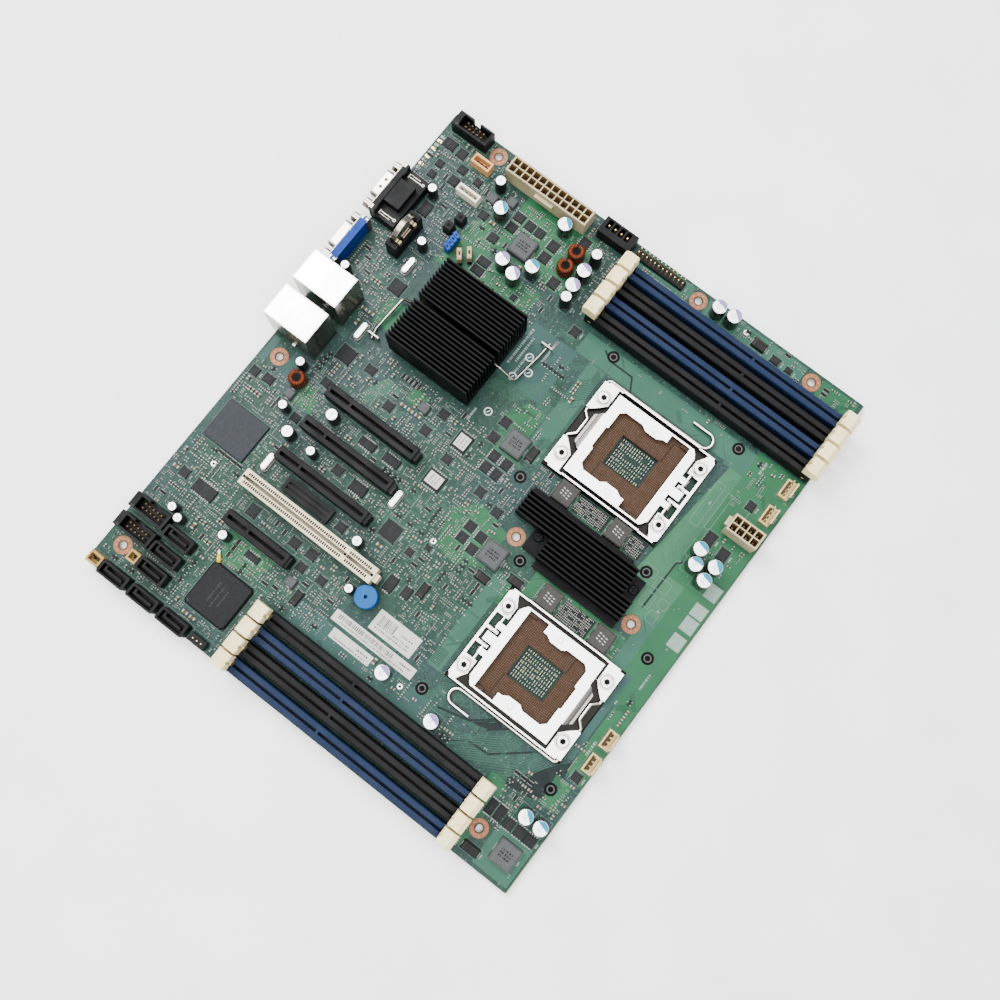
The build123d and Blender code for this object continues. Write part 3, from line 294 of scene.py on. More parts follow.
# Looks of about one colour: name, colour, roughness, then the settings that differ from the usual ones.
PLAIN_LOOKS = [
    ("pour", (0.012, 0.076, 0.031), 0.36, FLAT), ("pour_light", (0.026, 0.098, 0.050), 0.36, FLAT),
    ("cut_edge", (0.42, 0.44, 0.28), 0.8, {}), ("pour_pale", (0.021, 0.074, 0.049), 0.38, FLAT),
    ("pour_teal", (0.018, 0.052, 0.046), 0.38, FLAT),
    ("pour_dark", MASK_DARK, 0.40, {"grain": 80.0, "depth": 0.00001}),
    ("trace", (0.019, 0.070, 0.043), 0.36, {"depth": 0.00001}),
    ("trace_dark", (0.0035, 0.016, 0.013), 0.40, {"depth": 0.00001}),
    ("silkscreen", (0.22, 0.255, 0.24), 0.75, {"spread": 0.08}),
    ("white_print", (0.50, 0.56, 0.54), 0.75, {"spread": 0.06}),
    ("faint_print", (0.105, 0.150, 0.130), 0.75, {"spread": 0.08}),
    ("solder", (0.62, 0.63, 0.62), 0.34, {"metal": 0.85, "grain": 1500.0}),
    ("dull_solder", (0.135, 0.145, 0.135), 0.5, {"metal": 0.2, "grain": 1500.0}),
    ("dull_tin", (0.25, 0.26, 0.24), 0.42, {"metal": 0.3}),
    ("copper", (0.21, 0.092, 0.048), 0.5, {"metal": 0.3, "grain": 500.0}),
    ("copper_worn", (0.36, 0.21, 0.14), 0.45, {"metal": 0.4}),
    # A dark steel, also used as painted shade round the screw washers and on the jack nuts.
    ("boss_steel", (0.06, 0.06, 0.058), 0.4, {"metal": 0.6}),
    ("gold", (0.80, 0.58, 0.25), 0.30, {"metal": 0.9}),
    ("contact", (0.095, 0.056, 0.026), 0.4, {"metal": 0.5}),
    # The slit contact look is the contact colour darkened as painted shade, for contacts down in slits.
    ("slit_contact", (0.030, 0.018, 0.010), 0.5, {"metal": 0.3}),
    ("field_contact", (0.115, 0.062, 0.034), 0.5, {"metal": 0.3}),
    ("cavity_tip", (0.30, 0.36, 0.22), 0.45, {"metal": 0.2}),
    ("tin", (0.74, 0.74, 0.72), 0.26, {"metal": 0.95, "spread": 0.08}),
    ("ceramic_tan", (0.075, 0.048, 0.025), 0.6, {}), ("ceramic_grey", (0.022, 0.019, 0.016), 0.6, {}),
    ("resistor", (0.0035, 0.0035, 0.0040), 0.5, {}),
    ("mould", (0.0100, 0.0104, 0.0112), 0.6, {"grain": 2500.0, "depth": 0.00002}),
    ("mark", (0.024, 0.024, 0.026), 0.7, {}), ("label", (0.46, 0.455, 0.43), 0.65, {"spread": 0.04}),
    # The near-black hollow look is painted shade in holes, openings, recesses and seams.
    ("ink", (0.045, 0.045, 0.05), 0.6, {}), ("hollow", (0.002, 0.002, 0.002), 0.9, {}),
    ("brown_plastic", (0.022, 0.012, 0.006), 0.5, {}),
    ("white_top", (0.96, 0.96, 0.97), 0.40, {"metal": 0.65, "spread": 0.04}),
    ("cyan_mark", (0.002, 0.19, 0.30), 0.45, {}), ("violet_mark", (0.24, 0.17, 0.42), 0.45, {}),
    ("wire_copper", (0.17, 0.040, 0.016), 0.28, {"metal": 0.6, "grain": 1500.0}),
    ("blue_cap", (0.008, 0.050, 0.24), 0.5, {}), ("yellow_mark", (0.62, 0.42, 0.03), 0.5, {}),
    ("light_green", (0.25, 0.8, 0.3), 0.3, {}), ("light_amber", (0.85, 0.5, 0.1), 0.3, {}),
    # The cell look paints shade on the walls of the power connector cells.
    ("silver_mark", (0.34, 0.33, 0.31), 0.6, {}), ("slot_shadow", (0.050, 0.031, 0.014), 0.8, {}),
    ("sleeve", (0.0035, 0.0035, 0.0035), 0.35, {}), ("cell_brown", (0.19, 0.115, 0.045), 0.6, {}),
    ("pad_pale", (0.17, 0.235, 0.195), 0.6, {}), ("tan_cap", (0.42, 0.28, 0.15), 0.5, {}),
]


def make_looks():
    make_board_look()
    for name, colour, rough, settings in PLAIN_LOOKS:
        plain(name, colour, rough, **settings)
    surface("floor", (0.93, 0.93, 0.94), (0.98, 0.98, 0.99), 0.85, grain=22.0, depth=0.0002)


def make_node_looks():
    """The materials of the CAD pieces; many of them paint shade on upright faces, in creases and along edges.
    """
    brushed = {"metal": 1.0, "grain": 160.0, "edge": 0.00035}
    plain("socket_plastic", (0.030, 0.0155, 0.0085), 0.6)
    surface("stainless", (0.80, 0.79, 0.78), (0.94, 0.93, 0.92), 0.22, stretch=(1, 9, 1), crease=0.0014,
            side=(0.22, 0.20, 0.18), **brushed)
    plate, colour = surface("load_plate", (0.88, 0.87, 0.86), (1.0, 0.99, 0.98), 0.22, stretch=(1, 9, 1),
                            crease=0.0014, **brushed)
    # Painted shade: the plate turns darker below its top face, on its lip and slopes.
    height = plate.axes(plate.place)[2]
    plate_low_shade = plate.span(height, BOARD_HIGH.z + 4.7 * MM, BOARD_HIGH.z + 6.15 * MM, 0.0, 1.0)
    plate.set(plate.mix(plate_low_shade, (0.26, 0.235, 0.21), colour))
    surface("lever_steel", (0.74, 0.70, 0.66), (0.86, 0.82, 0.78), 0.25, 1.0, crease=0.0024,
            side=(0.05, 0.042, 0.036))
    deck, colour = surface("deck_steel", (0.86, 0.82, 0.80), (1.0, 0.96, 0.94), 0.27, stretch=(9, 1, 1),
                           crease=0.0018, side=(0.12, 0.105, 0.095), **brushed)
    # Painted shade: the frame is near black below 2.6 mm over the board, so the gaps round the load plate
    # look dark.
    low = deck.math("LESS_THAN", deck.axes(deck.place)[2], BOARD_HIGH.z + 2.6 * MM)
    deck.set(deck.mix(low, colour, (0.012, 0.011, 0.010)))
    plain("spring_steel", (0.36, 0.32, 0.27), 0.25, 1.0, crease=0.0010, side=(0.035, 0.030, 0.025))
    plain("blue_plastic", (0.0042, 0.0120, 0.036), 0.5, grain=300.0)
    plain("black_plastic", (0.0026, 0.0027, 0.0031), 0.5, grain=300.0)
    surface("ivory", (0.76, 0.62, 0.32), (0.88, 0.76, 0.45), 0.48, grain=90.0)
    surface("power_ivory", (0.34, 0.285, 0.165), (0.44, 0.375, 0.230), 0.5, grain=90.0)
    surface("pci_ivory", (0.60, 0.51, 0.34), (0.72, 0.63, 0.45), 0.5, grain=90.0)
    plain("packages", (0.0052, 0.0056, 0.0066), 0.55, grain=2200.0, depth=0.00002,
          places=[(97.0, 17.8, 12, 13.5, (0.0165, 0.0185, 0.022), (0.0205, 0.023, 0.027))])
    surface("anodised", (0.0040, 0.0040, 0.0045), (0.0075, 0.0075, 0.0080), 0.5, 0.2, grain=250.0,
            stretch=(6, 1, 1), specular=0.05, side=(0.0015, 0.0015, 0.0015))
    surface("shell_tin", (0.84, 0.84, 0.82), (0.94, 0.94, 0.93), 0.24, 1.0, grain=110.0, stretch=(1, 6, 1),
            edge=0.0004, crease=0.0008, side=(0.20, 0.175, 0.13), edge_shade=0.0016)
    surface("dsub_tin", (0.60, 0.57, 0.48), (0.70, 0.67, 0.58), 0.32, 1.0, grain=110.0, edge=0.0004,
            crease=0.0014, side=(0.13, 0.10, 0.07), edge_shade=0.0013)
    plain("video_blue", (0.004, 0.030, 0.19), 0.5)
    surface("cell_steel", (0.30, 0.26, 0.21), (0.46, 0.42, 0.36), 0.22, 1.0, grain=120.0, edge=0.0004,
            side=(0.40, 0.36, 0.31))
    plain("brass", (0.44, 0.36, 0.23), 0.30, 1.0)
    plain("buzzer_blue", (0.0025, 0.074, 0.245), 0.45)
    plain("can_silver", (0.62, 0.62, 0.62), 0.24, 1.0, spread=0.06, edge=0.0004, crease=0.0012,
          side=(0.055, 0.058, 0.046))
    tan = ((0.26, 0.17, 0.05), (0.34, 0.23, 0.08))
    orange = ((0.50, 0.25, 0.09), (0.62, 0.33, 0.13))
    cream = ((0.74, 0.68, 0.54), (0.84, 0.78, 0.64))
    surface("headers", (0.44, 0.33, 0.15), (0.56, 0.43, 0.21), 0.5, places=[
        (288.2, 29.8, 4, 7, *orange), (270.2, 34.4, 4, 8, *cream), (15.9, 20.0, 4, 4, *tan),
        (3.5, 5.4, 4, 5, *tan)])
    dark = ((0.0050, 0.0054, 0.0060), (0.0080, 0.0084, 0.0092))
    warm = ((0.030, 0.028, 0.026), (0.041, 0.039, 0.036))
    surface("ferrite", (0.046, 0.049, 0.050), (0.062, 0.065, 0.066), 0.62, grain=900.0, places=[
        (173.4, 188.0, 8, 24, *warm), (125.8, 213.0, 8, 24, *warm), (273.8, 99.4, 12, 6, *dark),
        (137.0, 26.6, 5, 5, *dark)])
    plain("tantalum", (0.010, 0.009, 0.0085), 0.55)
    surface("screws", (0.74, 0.70, 0.68), (0.88, 0.85, 0.83), 0.28, 1.0, edge=0.0004, crease=0.0016, places=[
        (147.2, 174.4, 4, 4, *dark), (154.8, 228.0, 4, 4, *dark)])
    surface("back_plate", (0.30, 0.29, 0.28), (0.42, 0.41, 0.40), 0.38, 1.0, grain=140.0, stretch=(8, 1, 1))


NODE_LOOKS = {
    "board": ["circuit_board"],
    "socket_plastic": ["cpu1_socket_body", "cpu2_socket_body"],
    "deck_steel": ["cpu1_socket_frame", "cpu2_socket_frame"],
    "load_plate": ["cpu1_load_plate", "cpu2_load_plate"],
    "lever_steel": ["cpu1_load_lever", "cpu2_load_lever"],
    "spring_steel": ["chipset_heatsink_clip", "clip_anchor_loops"],
    "screws": ["machine_screws"],
    "back_plate": ["cpu_back_plates"],
    "blue_plastic": ["blue_memory_slots"],
    "black_plastic": ["black_memory_slots", "serial_connector", "battery_holder", "psu_signal_connector",
                      "box_headers", "pin_headers", "sata_connectors", "pcie_slots", "mezzanine_connector"],
    "brown_plastic": ["lan_usb_inserts"],
    "power_ivory": ["main_power_connector", "cpu_power_connector"],
    "pci_ivory": ["pci_slot"],
    "packages": ["large_packages"],
    "mould": ["logic_chips", "power_transistors"],
    "anodised": ["chipset_heatsink", "regulator_heatsink"],
    "shell_tin": ["lan_usb_shells", "crystals"],
    "dsub_tin": ["dsub_shells"],
    "video_blue": ["vga_connector"],
    "cell_steel": ["coin_cell"],
    "buzzer_blue": ["buzzer"],
    "contact": ["connector_pins"],
    "headers": ["fan_and_wafer_headers"],
    "can_silver": ["polymer_capacitors", "electrolytic_capacitors"],
    "ferrite": ["inductors"],
    "tantalum": ["tantalum_capacitors"],
}


def dress_nodes():
    looks = {node: look for look, nodes in NODE_LOOKS.items() for node in nodes}
    for name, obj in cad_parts.items():
        look = "ivory" if name.endswith("_latch") else looks[name]
        obj.data.materials.clear()
        obj.data.materials.append(LOOKS[look])


# ---------------------------------------------------------------- pieces in mesh code
class Piece:
    """One joined mesh. Faces are added in board millimetres, each with the name of its material."""

    def __init__(self):
        self.points, self.faces, self.marks, self.rounded = [], [], [], []

    def loft(self, loops, mark, rounded=False, closed=False):
        """A skin over loops with equal numbers of points: closed into a ring, or with flat ends."""
        start, count = len(self.points), len(loops[0])
        self.points += [point for loop in loops for point in loop]
        sides = []
        for band in range(len(loops) if closed else len(loops) - 1):
            low, high = start + band * count, start + (band + 1) % len(loops) * count
            sides += [(low + i, low + (i + 1) % count, high + (i + 1) % count, high + i)
                      for i in range(count)]
        last = len(self.points)
        ends = [] if closed else [tuple(range(start, start + count)), tuple(range(last - count, last))]
        self.faces += sides + ends
        self.marks += [mark] * len(sides + ends)
        self.rounded += [rounded] * len(sides) + [False] * len(ends)

    def prism(self, outline, z0, z1, mark, draw_in=0.0, rounded=False):
        """An upright prism; its top outline may be drawn in towards the middle by that part of its size."""
        middle_x = sum(x for x, _y in outline) / len(outline)
        middle_y = sum(y for _x, y in outline) / len(outline)
        top = [(x + (middle_x - x) * draw_in, y + (middle_y - y) * draw_in, z1) for x, y in outline]
        self.loft([[(x, y, z0) for x, y in outline], top], mark, rounded)

    def box(self, x, y, w, d, z0, z1, mark, turn=0.0, draw_in=0.0):
        """A box centred on x, y, turned by that many degrees."""
        cos, sin = math.cos(math.radians(turn)), math.sin(math.radians(turn))
        corners = [(-w / 2, -d / 2), (w / 2, -d / 2), (w / 2, d / 2), (-w / 2, d / 2)]
        outline = [(x + u * cos - v * sin, y + u * sin + v * cos) for u, v in corners]
        self.prism(outline, z0, z1, mark, draw_in)

    def turned_box(self, spot, u, v, w, d, z0, z1, mark, draw_in=0.0):
        """A box in the axes of a part; spot is the part's x, y and turn, which is 0 or 90 degrees."""
        x, y, turn = spot
        if turn == 0:
            self.box(x + u, y + v, w, d, z0, z1, mark, 0.0, draw_in)
        else:
            self.box(x - v, y + u, d, w, z0, z1, mark, 0.0, draw_in)

    def pair(self, x, y, shift, w, d, z0, z1, mark, draw_in=0.0):
        """Two boxes, one that far to each side of x."""
        for side in (-1, 1):
            self.box(x + side * shift, y, w, d, z0, z1, mark, 0.0, draw_in)

    def disc(self, x, y, r, z0, z1, mark, sides=16, draw_in=0.0):
        outline = [around(x, y, r, angle) for angle in circle(sides)]
        self.prism(outline, z0, z1, mark, draw_in, rounded=True)

    def ring(self, x, y, outer, inner, z0, z1, mark, sides=32):
        loops = [[(*around(x, y, r, angle), z) for angle in circle(sides)]
                 for r, z in ((outer, z0), (outer, z1), (inner, z1), (inner, z0))]
        self.loft(loops, mark, closed=True)

    def tube(self, route, r, mark, sides=8):
        """A round wire along the points."""
        spots = [Vector(point) for point in route]
        loops, up = [], Vector((0.03, 0.02, 1.0))
        for index, spot in enumerate(spots):
            ahead = (spots[min(index + 1, len(spots) - 1)] - spots[max(index - 1, 0)]).normalized()
            side = ahead.cross(up)
            side = side.normalized() if side.length > 0.05 else ahead.cross(Vector((1, 0, 0))).normalized()
            rise = side.cross(ahead)
            loops.append([tuple(spot + side * (r * math.cos(angle)) + rise * (r * math.sin(angle)))
                          for angle in circle(sides)])
        self.loft(loops, mark, True)

    def make(self, name, slot, body=BODY):
        mesh = bpy.data.meshes.new(name)
        mesh.from_pydata([at(*point) for point in self.points], [], self.faces)
        looks = sorted(set(self.marks))
        for look in looks:
            mesh.materials.append(LOOKS[look])
        mesh.polygons.foreach_set("material_index", [looks.index(mark) for mark in self.marks])
        mesh.polygons.foreach_set("use_smooth", self.rounded)
        shell = bmesh.new()
        shell.from_mesh(mesh)
        bmesh.ops.recalc_face_normals(shell, faces=shell.faces)
        shell.to_mesh(mesh)
        shell.free()
        obj = bpy.data.objects.new(name, mesh)
        bpy.context.collection.objects.link(obj)
        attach(obj, body)
        return obj


def circle(sides):
    """The angles of that many points round a circle."""
    return [2 * math.pi * index / sides for index in range(sides)]


def around(x, y, r, angle):
    """The point at that distance and angle from x, y."""
    return x + r * math.cos(angle), y + r * math.sin(angle)


# ---------------------------------------------------------------- what the CAD pieces cover
GRID = 4  # cells in each millimetre
EDGE_GAP = 0.8


def loose_boxes(obj):
    """The box of each separate solid of a node, in board millimetres."""
    mesh = obj.data
    parent = list(range(len(mesh.vertices)))

    def root(index):
        while parent[index] != index:
            parent[index] = parent[parent[index]]
            index = parent[index]
        return index

    first_there = {}
    joined = [tuple(edge.vertices) for edge in mesh.edges]
    for vertex in mesh.vertices:
        spot = tuple(round(value / MM, 2) for value in vertex.co)
        joined.append((vertex.index, first_there.setdefault(spot, vertex.index)))
    for one, other in joined:
        first, second = root(one), root(other)
        if first != second:
            parent[first] = second
    boxes = {}
    for vertex in mesh.vertices:
        x = (vertex.co.x - BOARD_LOW.x) / MM
        y = (BOARD_HIGH.y - vertex.co.y) / MM
        z = (vertex.co.z - BOARD_HIGH.z) / MM
        low, high = boxes.setdefault(root(vertex.index), ([x, y, z], [x, y, z]))
        for axis, value in enumerate((x, y, z)):
            low[axis] = min(low[axis], value)
            high[axis] = max(high[axis], value)
    return list(boxes.values())


class Room:
    """Which cells of the board are taken."""

    def __init__(self):
        self.columns, self.rows = int(BOARD_X * GRID), int(BOARD_Y * GRID)
        self.cells = [bytearray(self.columns) for _row in range(self.rows)]

    def span(self, x0, x1, y0, y1):
        return (max(0, int(x0 * GRID)), min(self.columns, int(x1 * GRID) + 1),
                max(0, int(y0 * GRID)), min(self.rows, int(y1 * GRID) + 1))

    def take(self, x0, x1, y0, y1):
        c0, c1, r0, r1 = self.span(x0, x1, y0, y1)
        for row in range(r0, r1):
            self.cells[row][c0:c1] = b"\x01" * max(0, c1 - c0)

    def free(self, x0, x1, y0, y1):
        if min(x0, y0) < EDGE_GAP or x1 > BOARD_X - EDGE_GAP or y1 > BOARD_Y - EDGE_GAP:
            return False
        c0, c1, r0, r1 = self.span(x0, x1, y0, y1)
        return not any(any(self.cells[row][c0:c1]) for row in range(r0, r1))


ROOM = Room()
MARGIN = 0.5
# Kept free of small parts: the printed pads at the front edge, and the tilted jumpers.
PAD_ROOM = (143, 183, 256, 266)
JUMPER_ROOM = (235, 250, 47, 60)
BOSS_ROOM = 4.2
LOW_PART_Z = 4.0


def take_node_room():
    for x, y in boss_places():
        ROOM.take(x - BOSS_ROOM, x + BOSS_ROOM, y - BOSS_ROOM, y + BOSS_ROOM)
    for name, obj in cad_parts.items():
        if name in ("circuit_board", "cpu_back_plates"):
            continue
        for low, high in loose_boxes(obj):
            if low[2] < LOW_PART_Z:
                ROOM.take(low[0] - MARGIN, high[0] + MARGIN, low[1] - MARGIN, high[1] + MARGIN)


# ---------------------------------------------------------------- places shared by several pieces
MOUNT_HOLES = [(16.51, 10.16), (140.97, 10.16), (298.45, 33.02), (140.97, 165.10), (298.45, 165.10),
               (16.51, 237.49), (140.97, 237.49), (298.45, 237.49)]
# The processor sockets: middle x, y, and 1 or -1 for which way round.
CPUS = {"cpu1": (206.75, 188.0, 1), "cpu2": (92.3, 214.05, -1)}
COOLER_HALF_PITCH = 40.0


def boss_places():
    """The threaded bosses for the coolers, four round each socket."""
    return [(x + side_x * COOLER_HALF_PITCH, y + side_y * COOLER_HALF_PITCH)
            for x, y, _turn in CPUS.values() for side_x in (-1, 1) for side_y in (-1, 1)]


CPU1_SLOT_X = (256.9, 266.8, 276.7, 286.6)
CPU2_SLOT_X = (5.4, 14.9, 24.4, 33.9)
SLOT_LENGTH = 128.5
# Memory slots: x, rear end and key. Serial expansion slots: x and both ends.
MEMORY_SLOTS = [(x, 130.3, 206.5) for x in CPU1_SLOT_X] + [(x, 94.3, 147.0) for x in CPU2_SLOT_X]
PCIE_SLOTS = [(60.66, 44.0, 83.0), (101.4, 44.0, 100.2), (121.6, 44.0, 100.2), (141.9, 44.0, 100.2)]
PCIE_KEY_Y = 58.2
# Polymer cans: middle x, y and the colour of the mark. Sleeved cans: middle x, y, radius and height.
POLYMER_CAPS = [
    (272.4, 54.4, "cyan_mark"), (256.9, 86.7, "cyan_mark"), (285.7, 86.4, "cyan_mark"),
    (183.1, 244.6, "cyan_mark"), (190.9, 242.2, "cyan_mark"), (179.1, 252.7, "cyan_mark"),
    (187.7, 253.3, "cyan_mark"), (35.3, 251.5, "cyan_mark"), (35.3, 260.3, "cyan_mark"),
    (250.9, 72.0, "violet_mark"), (247.7, 81.0, "violet_mark"), (261.7, 109.4, "violet_mark"),
    (271.5, 109.4, "violet_mark"), (298.4, 176.5, "violet_mark"), (298.9, 185.4, "violet_mark"),
    (46.9, 154.5, "violet_mark"), (42.9, 187.8, "violet_mark"),
]
SLEEVED_CAPS = [
    (47.2, 19.7, 2.5, 9), (44.5, 25.6, 2.5, 9), (51.6, 49.5, 2.6, 11), (111.3, 57.2, 2.6, 11),
    (121.4, 30.9, 2.6, 11), (144.3, 23.7, 2.6, 11), (198.6, 9.3, 2.5, 11), (259.4, 19.1, 2.6, 11),
    (232.9, 32.8, 2.6, 11), (284.4, 45.1, 3.0, 11), (253.7, 110.8, 3.1, 14), (281.5, 109.8, 3.1, 14),
    (69.0, 115.8, 2.5, 11), (89.9, 104.3, 2.8, 11), (112.0, 41.5, 3.3, 11), (132.4, 53.9, 3.3, 11),
]
TOROIDS = [(137.0, 26.6), (268.9, 99.4), (278.6, 99.4)]
POLYMER_R, POLYMER_TOP = 3.95, 11.5


# ---------------------------------------------------------------- board surface
def board_clear(x, y, margin):
    """Whether a place keeps that margin from the board's edge and its mounting holes."""
    if not (margin < x < BOARD_X - margin and margin < y < BOARD_Y - margin):
        return False
    return all(math.hypot(x - hole_x, y - hole_y) > 5.2 + margin for hole_x, hole_y in MOUNT_HOLES)


# Every pour and track has its own height, because faces that share a height and overlap come out black.
POUR_Z, POUR_STEP = 0.003, 0.0006
TRACK_Z, TRACK_STEP, TRACK_HEIGHTS = 0.024, 0.0002, 59
PRINT_Z = 0.045


def make_pours():
    """Copper areas under the mask, paler and greener than the routed ground."""
    pours = Piece()
    fields = [(rectangle(*field), "pour_dark") for field in CAPACITOR_FIELDS]
    for index, (outline, mark) in enumerate(POURS + fields):
        pours.prism(outline, 0.0, POUR_Z + POUR_STEP * index, mark)
    pours.prism(rectangle(0.0, BOARD_X, BOARD_Y - 0.4, BOARD_Y), 0.0, 0.035, "cut_edge")
    pours.make("copper_pours", "board_laminate")


def rectangle(x0, x1, y0, y1):
    return [(x0, y0), (x1, y0), (x1, y1), (x0, y1)]


POURS = [
    (rectangle(104, 172, 248, 265.6), "pour"),
    ([(143.5, 229), (152, 221), (176, 224), (236, 230), (236, 238), (172, 238), (172, 248), (143.5, 248)],
     "pour_light"),
    (rectangle(62, 104, 255, 265.6), "pour"),
    (rectangle(104, 150, 240.5, 248), "pour_pale"),
    ([(252, 232), (256, 262), (292, 262), (292, 248), (270, 240)], "pour_dark"),
    (rectangle(236, 250, 226, 240), "pour_pale"),
    ([(172, 238), (252, 238), (252, 265.6), (172, 265.6)], "pour"),
    ([(40, 230), (51, 240), (65, 251), (69, 255), (50, 257), (43, 249)], "pour_dark"),
    ([(54, 203), (64, 215), (61, 218), (56, 211)], "pour_dark"),
    ([(44, 254), (60, 252), (60, 262), (44, 262)], "pour"),
    (rectangle(237.5, 250, 130, 228), "pour_pale"),
    ([(176, 140), (237, 140), (237, 150), (176, 150)], "pour_pale"),
    (rectangle(64, 122, 168, 176), "pour_pale"),
    (rectangle(108, 120, 176, 200), "pour"),
    (rectangle(168, 178, 176, 214), "pour"),
    (rectangle(120, 134, 184, 240), "pour"),
    (rectangle(236, 250, 66, 98), "pour"),
    (rectangle(256, 292, 60, 106), "pour"),
    ([(150, 56), (156, 57), (166, 62), (166, 72), (160, 72), (158, 66), (150, 62)], "pour_pale"),
    ([(127, 30), (139, 30), (139, 36), (132, 42), (126, 42)], "pour"),
    (rectangle(134, 149, 1.2, 5.0), "pour_teal"),
    (rectangle(134, 149, 15.4, 20), "pour_teal"),
    (rectangle(203, 237, 104, 132), "pour_teal"),
    (rectangle(163, 171, 76, 86), "pour"),
    ([(170, 128), (188, 121), (200, 128), (201, 139), (176, 139), (170, 146)], "pour"),
    ([(113, 135), (133, 130), (144, 141), (139, 161), (119, 162), (111, 148)], "pour"),
    ([(232, 42), (262, 44), (268, 54), (246, 66), (234, 60)], "pour"),
    ([(40, 52), (58, 48), (62, 60), (58, 78), (44, 74)], "pour"),
    (rectangle(186, 202, 36, 48), "pour"),
    (rectangle(38, 50, 98, 190), "pour_teal"),
    (rectangle(292, 303.4, 124, 160), "pour_pale"),
    (rectangle(292, 303.4, 170, 232), "pour_pale"),
    (rectangle(292, 303.4, 242, 264), "pour"),
    (rectangle(4, 42, 226, 236), "pour"),
    (rectangle(2, 24, 244, 265), "pour_pale"),
    (rectangle(70, 120, 240, 254), "pour_teal"),
]

# Bundles of parallel lines: start, heading in degrees, run lengths with the turn after each, count, pitch.
TRACE_BUNDLES = [
    ((44, 198), 58, [(26, -45), (22, 0)], 12, 1.1, "trace"),
    ((44, 214), 60, [(20, -30), (30, 0)], 10, 1.3, "trace"),
    ((48, 176), 20, [(14, 45), (20, 0)], 9, 1.1, "trace"),
    ((44, 132), 5, [(8, 45), (16, 0)], 8, 1.0, "trace"),
    ((236, 152), 0, [(8, 45), (10, 0)], 10, 1.1, "trace"),
    ((238, 176), -12, [(14, 0)], 12, 1.2, "trace"),
    ((236, 206), 8, [(16, 0)], 10, 1.2, "trace"),
    ((176, 152), -90, [(10, -45), (14, 0)], 12, 0.9, "trace"),
    ((196, 152), -90, [(14, 45), (10, 0)], 12, 0.9, "trace"),
    ((216, 132), 45, [(20, -45), (8, 0)], 12, 0.9, "trace_dark"),
    ((206, 106), 90, [(14, -45), (16, 0)], 14, 0.8, "trace"),
    ((108, 182), 90, [(30, 45), (10, 0)], 5, 1.0, "trace"),
    ((66, 174), -90, [(8, 45), (12, 0)], 10, 0.9, "trace_dark"),
    ((86, 174), -90, [(16, 0)], 12, 0.9, "trace"),
    ((72, 242), 90, [(6, 45), (14, 0)], 14, 1.0, "trace_dark"),
    ((98, 242), 90, [(8, 0)], 10, 1.0, "trace"),
    ((110, 256), 0, [(60, 0)], 6, 1.1, "trace"),
    ((178, 232), 0, [(50, 45), (8, 0)], 7, 1.0, "trace"),
    ((150, 42), 90, [(30, -45), (12, 0)], 6, 0.8, "trace"),
    ((112, 104), 90, [(20, 45), (14, 0)], 9, 0.8, "trace"),
    ((128, 106), 90, [(26, 0)], 9, 0.8, "trace"),
    ((88, 108), 90, [(12, 45), (16, 0)], 8, 0.8, "trace_dark"),
    ((66, 108), 45, [(10, 45), (8, 0)], 6, 0.9, "trace"),
    ((44, 70), 60, [(12, 30), (14, 0)], 8, 0.9, "trace"),
    ((13, 80), 90, [(10, 0)], 10, 1.0, "trace"),
    ((292, 128), 90, [(26, 0)], 6, 1.2, "trace"),
    ((294, 190), 90, [(36, 0)], 5, 1.2, "trace"),
]


# Broad dark tracks beside the sockets: start, heading in degrees, run lengths with the turn after each.
BROAD_TRACKS = [
    ((39.5, 198.7), 53, [(11.4, 34), (11.7, -37), (35, 0)]),
    ((50, 186), 75, [(17, -25), (16, 0)]),
    ((56, 212), 50, [(18, 0)]),
    ((237, 166), -30, [(8, -60), (14, 30), (6, 0)]),
    ((186, 243.5), 223, [(9, -42), (28, 0)]),
]


def lay_line(piece, x, y, heading, runs, width, mark, z=TRACK_Z):
    """A flat track that turns after each run."""
    for length, turn in runs:
        end_x, end_y = around(x, y, length, math.radians(heading))
        own_z = z + len(piece.faces) % TRACK_HEIGHTS * TRACK_STEP
        piece.box((x + end_x) / 2, (y + end_y) / 2, length + width * 0.6, width, 0.0, own_z, mark, heading)
        x, y, heading = end_x, end_y, heading + turn


def make_traces():
    tracks = Piece()
    for (x, y), heading, runs, count, pitch, mark in TRACE_BUNDLES:
        across = math.radians(heading + 90)
        for index in range(count):
            shrink = RANDOM.uniform(0.75, 1.0)
            last_length, last_turn = runs[-1]
            cut = runs[:-1] + [(last_length * shrink, last_turn)]
            lay_line(tracks, *around(x, y, index * pitch, across), heading, cut, 0.28, mark)
    for (x, y), heading, runs in BROAD_TRACKS:
        lay_line(tracks, x, y, heading, runs, 1.0, "pour_dark", 0.028)
    for _index in range(900):
        x, y = RANDOM.uniform(3, BOARD_X - 3), RANDOM.uniform(3, BOARD_Y - 3)
        heading = RANDOM.choice((0, 45, 90, 135))
        length, count = RANDOM.uniform(3, 11), RANDOM.choice((1, 2, 3, 4, 5))
        mark = RANDOM.choice(("trace", "trace", "trace_dark"))
        for start, _end in clear_lines(x, y, heading, length, count, 0.6):
            lay_line(tracks, *start, heading, [(length, 0)], 0.2, mark)
    tracks.make("signal_traces", "board_laminate")


def clear_lines(x, y, heading, length, count, pitch):
    """The ends of lines side by side, as far as they keep clear of the edge and the mounting holes."""
    across, angle = math.radians(heading + 90), math.radians(heading)
    for step in range(count):
        start = around(x, y, step * pitch, across)
        end = around(*start, length, angle)
        if board_clear(*start, 1.5) and board_clear(*end, 1.5):
            yield start, end


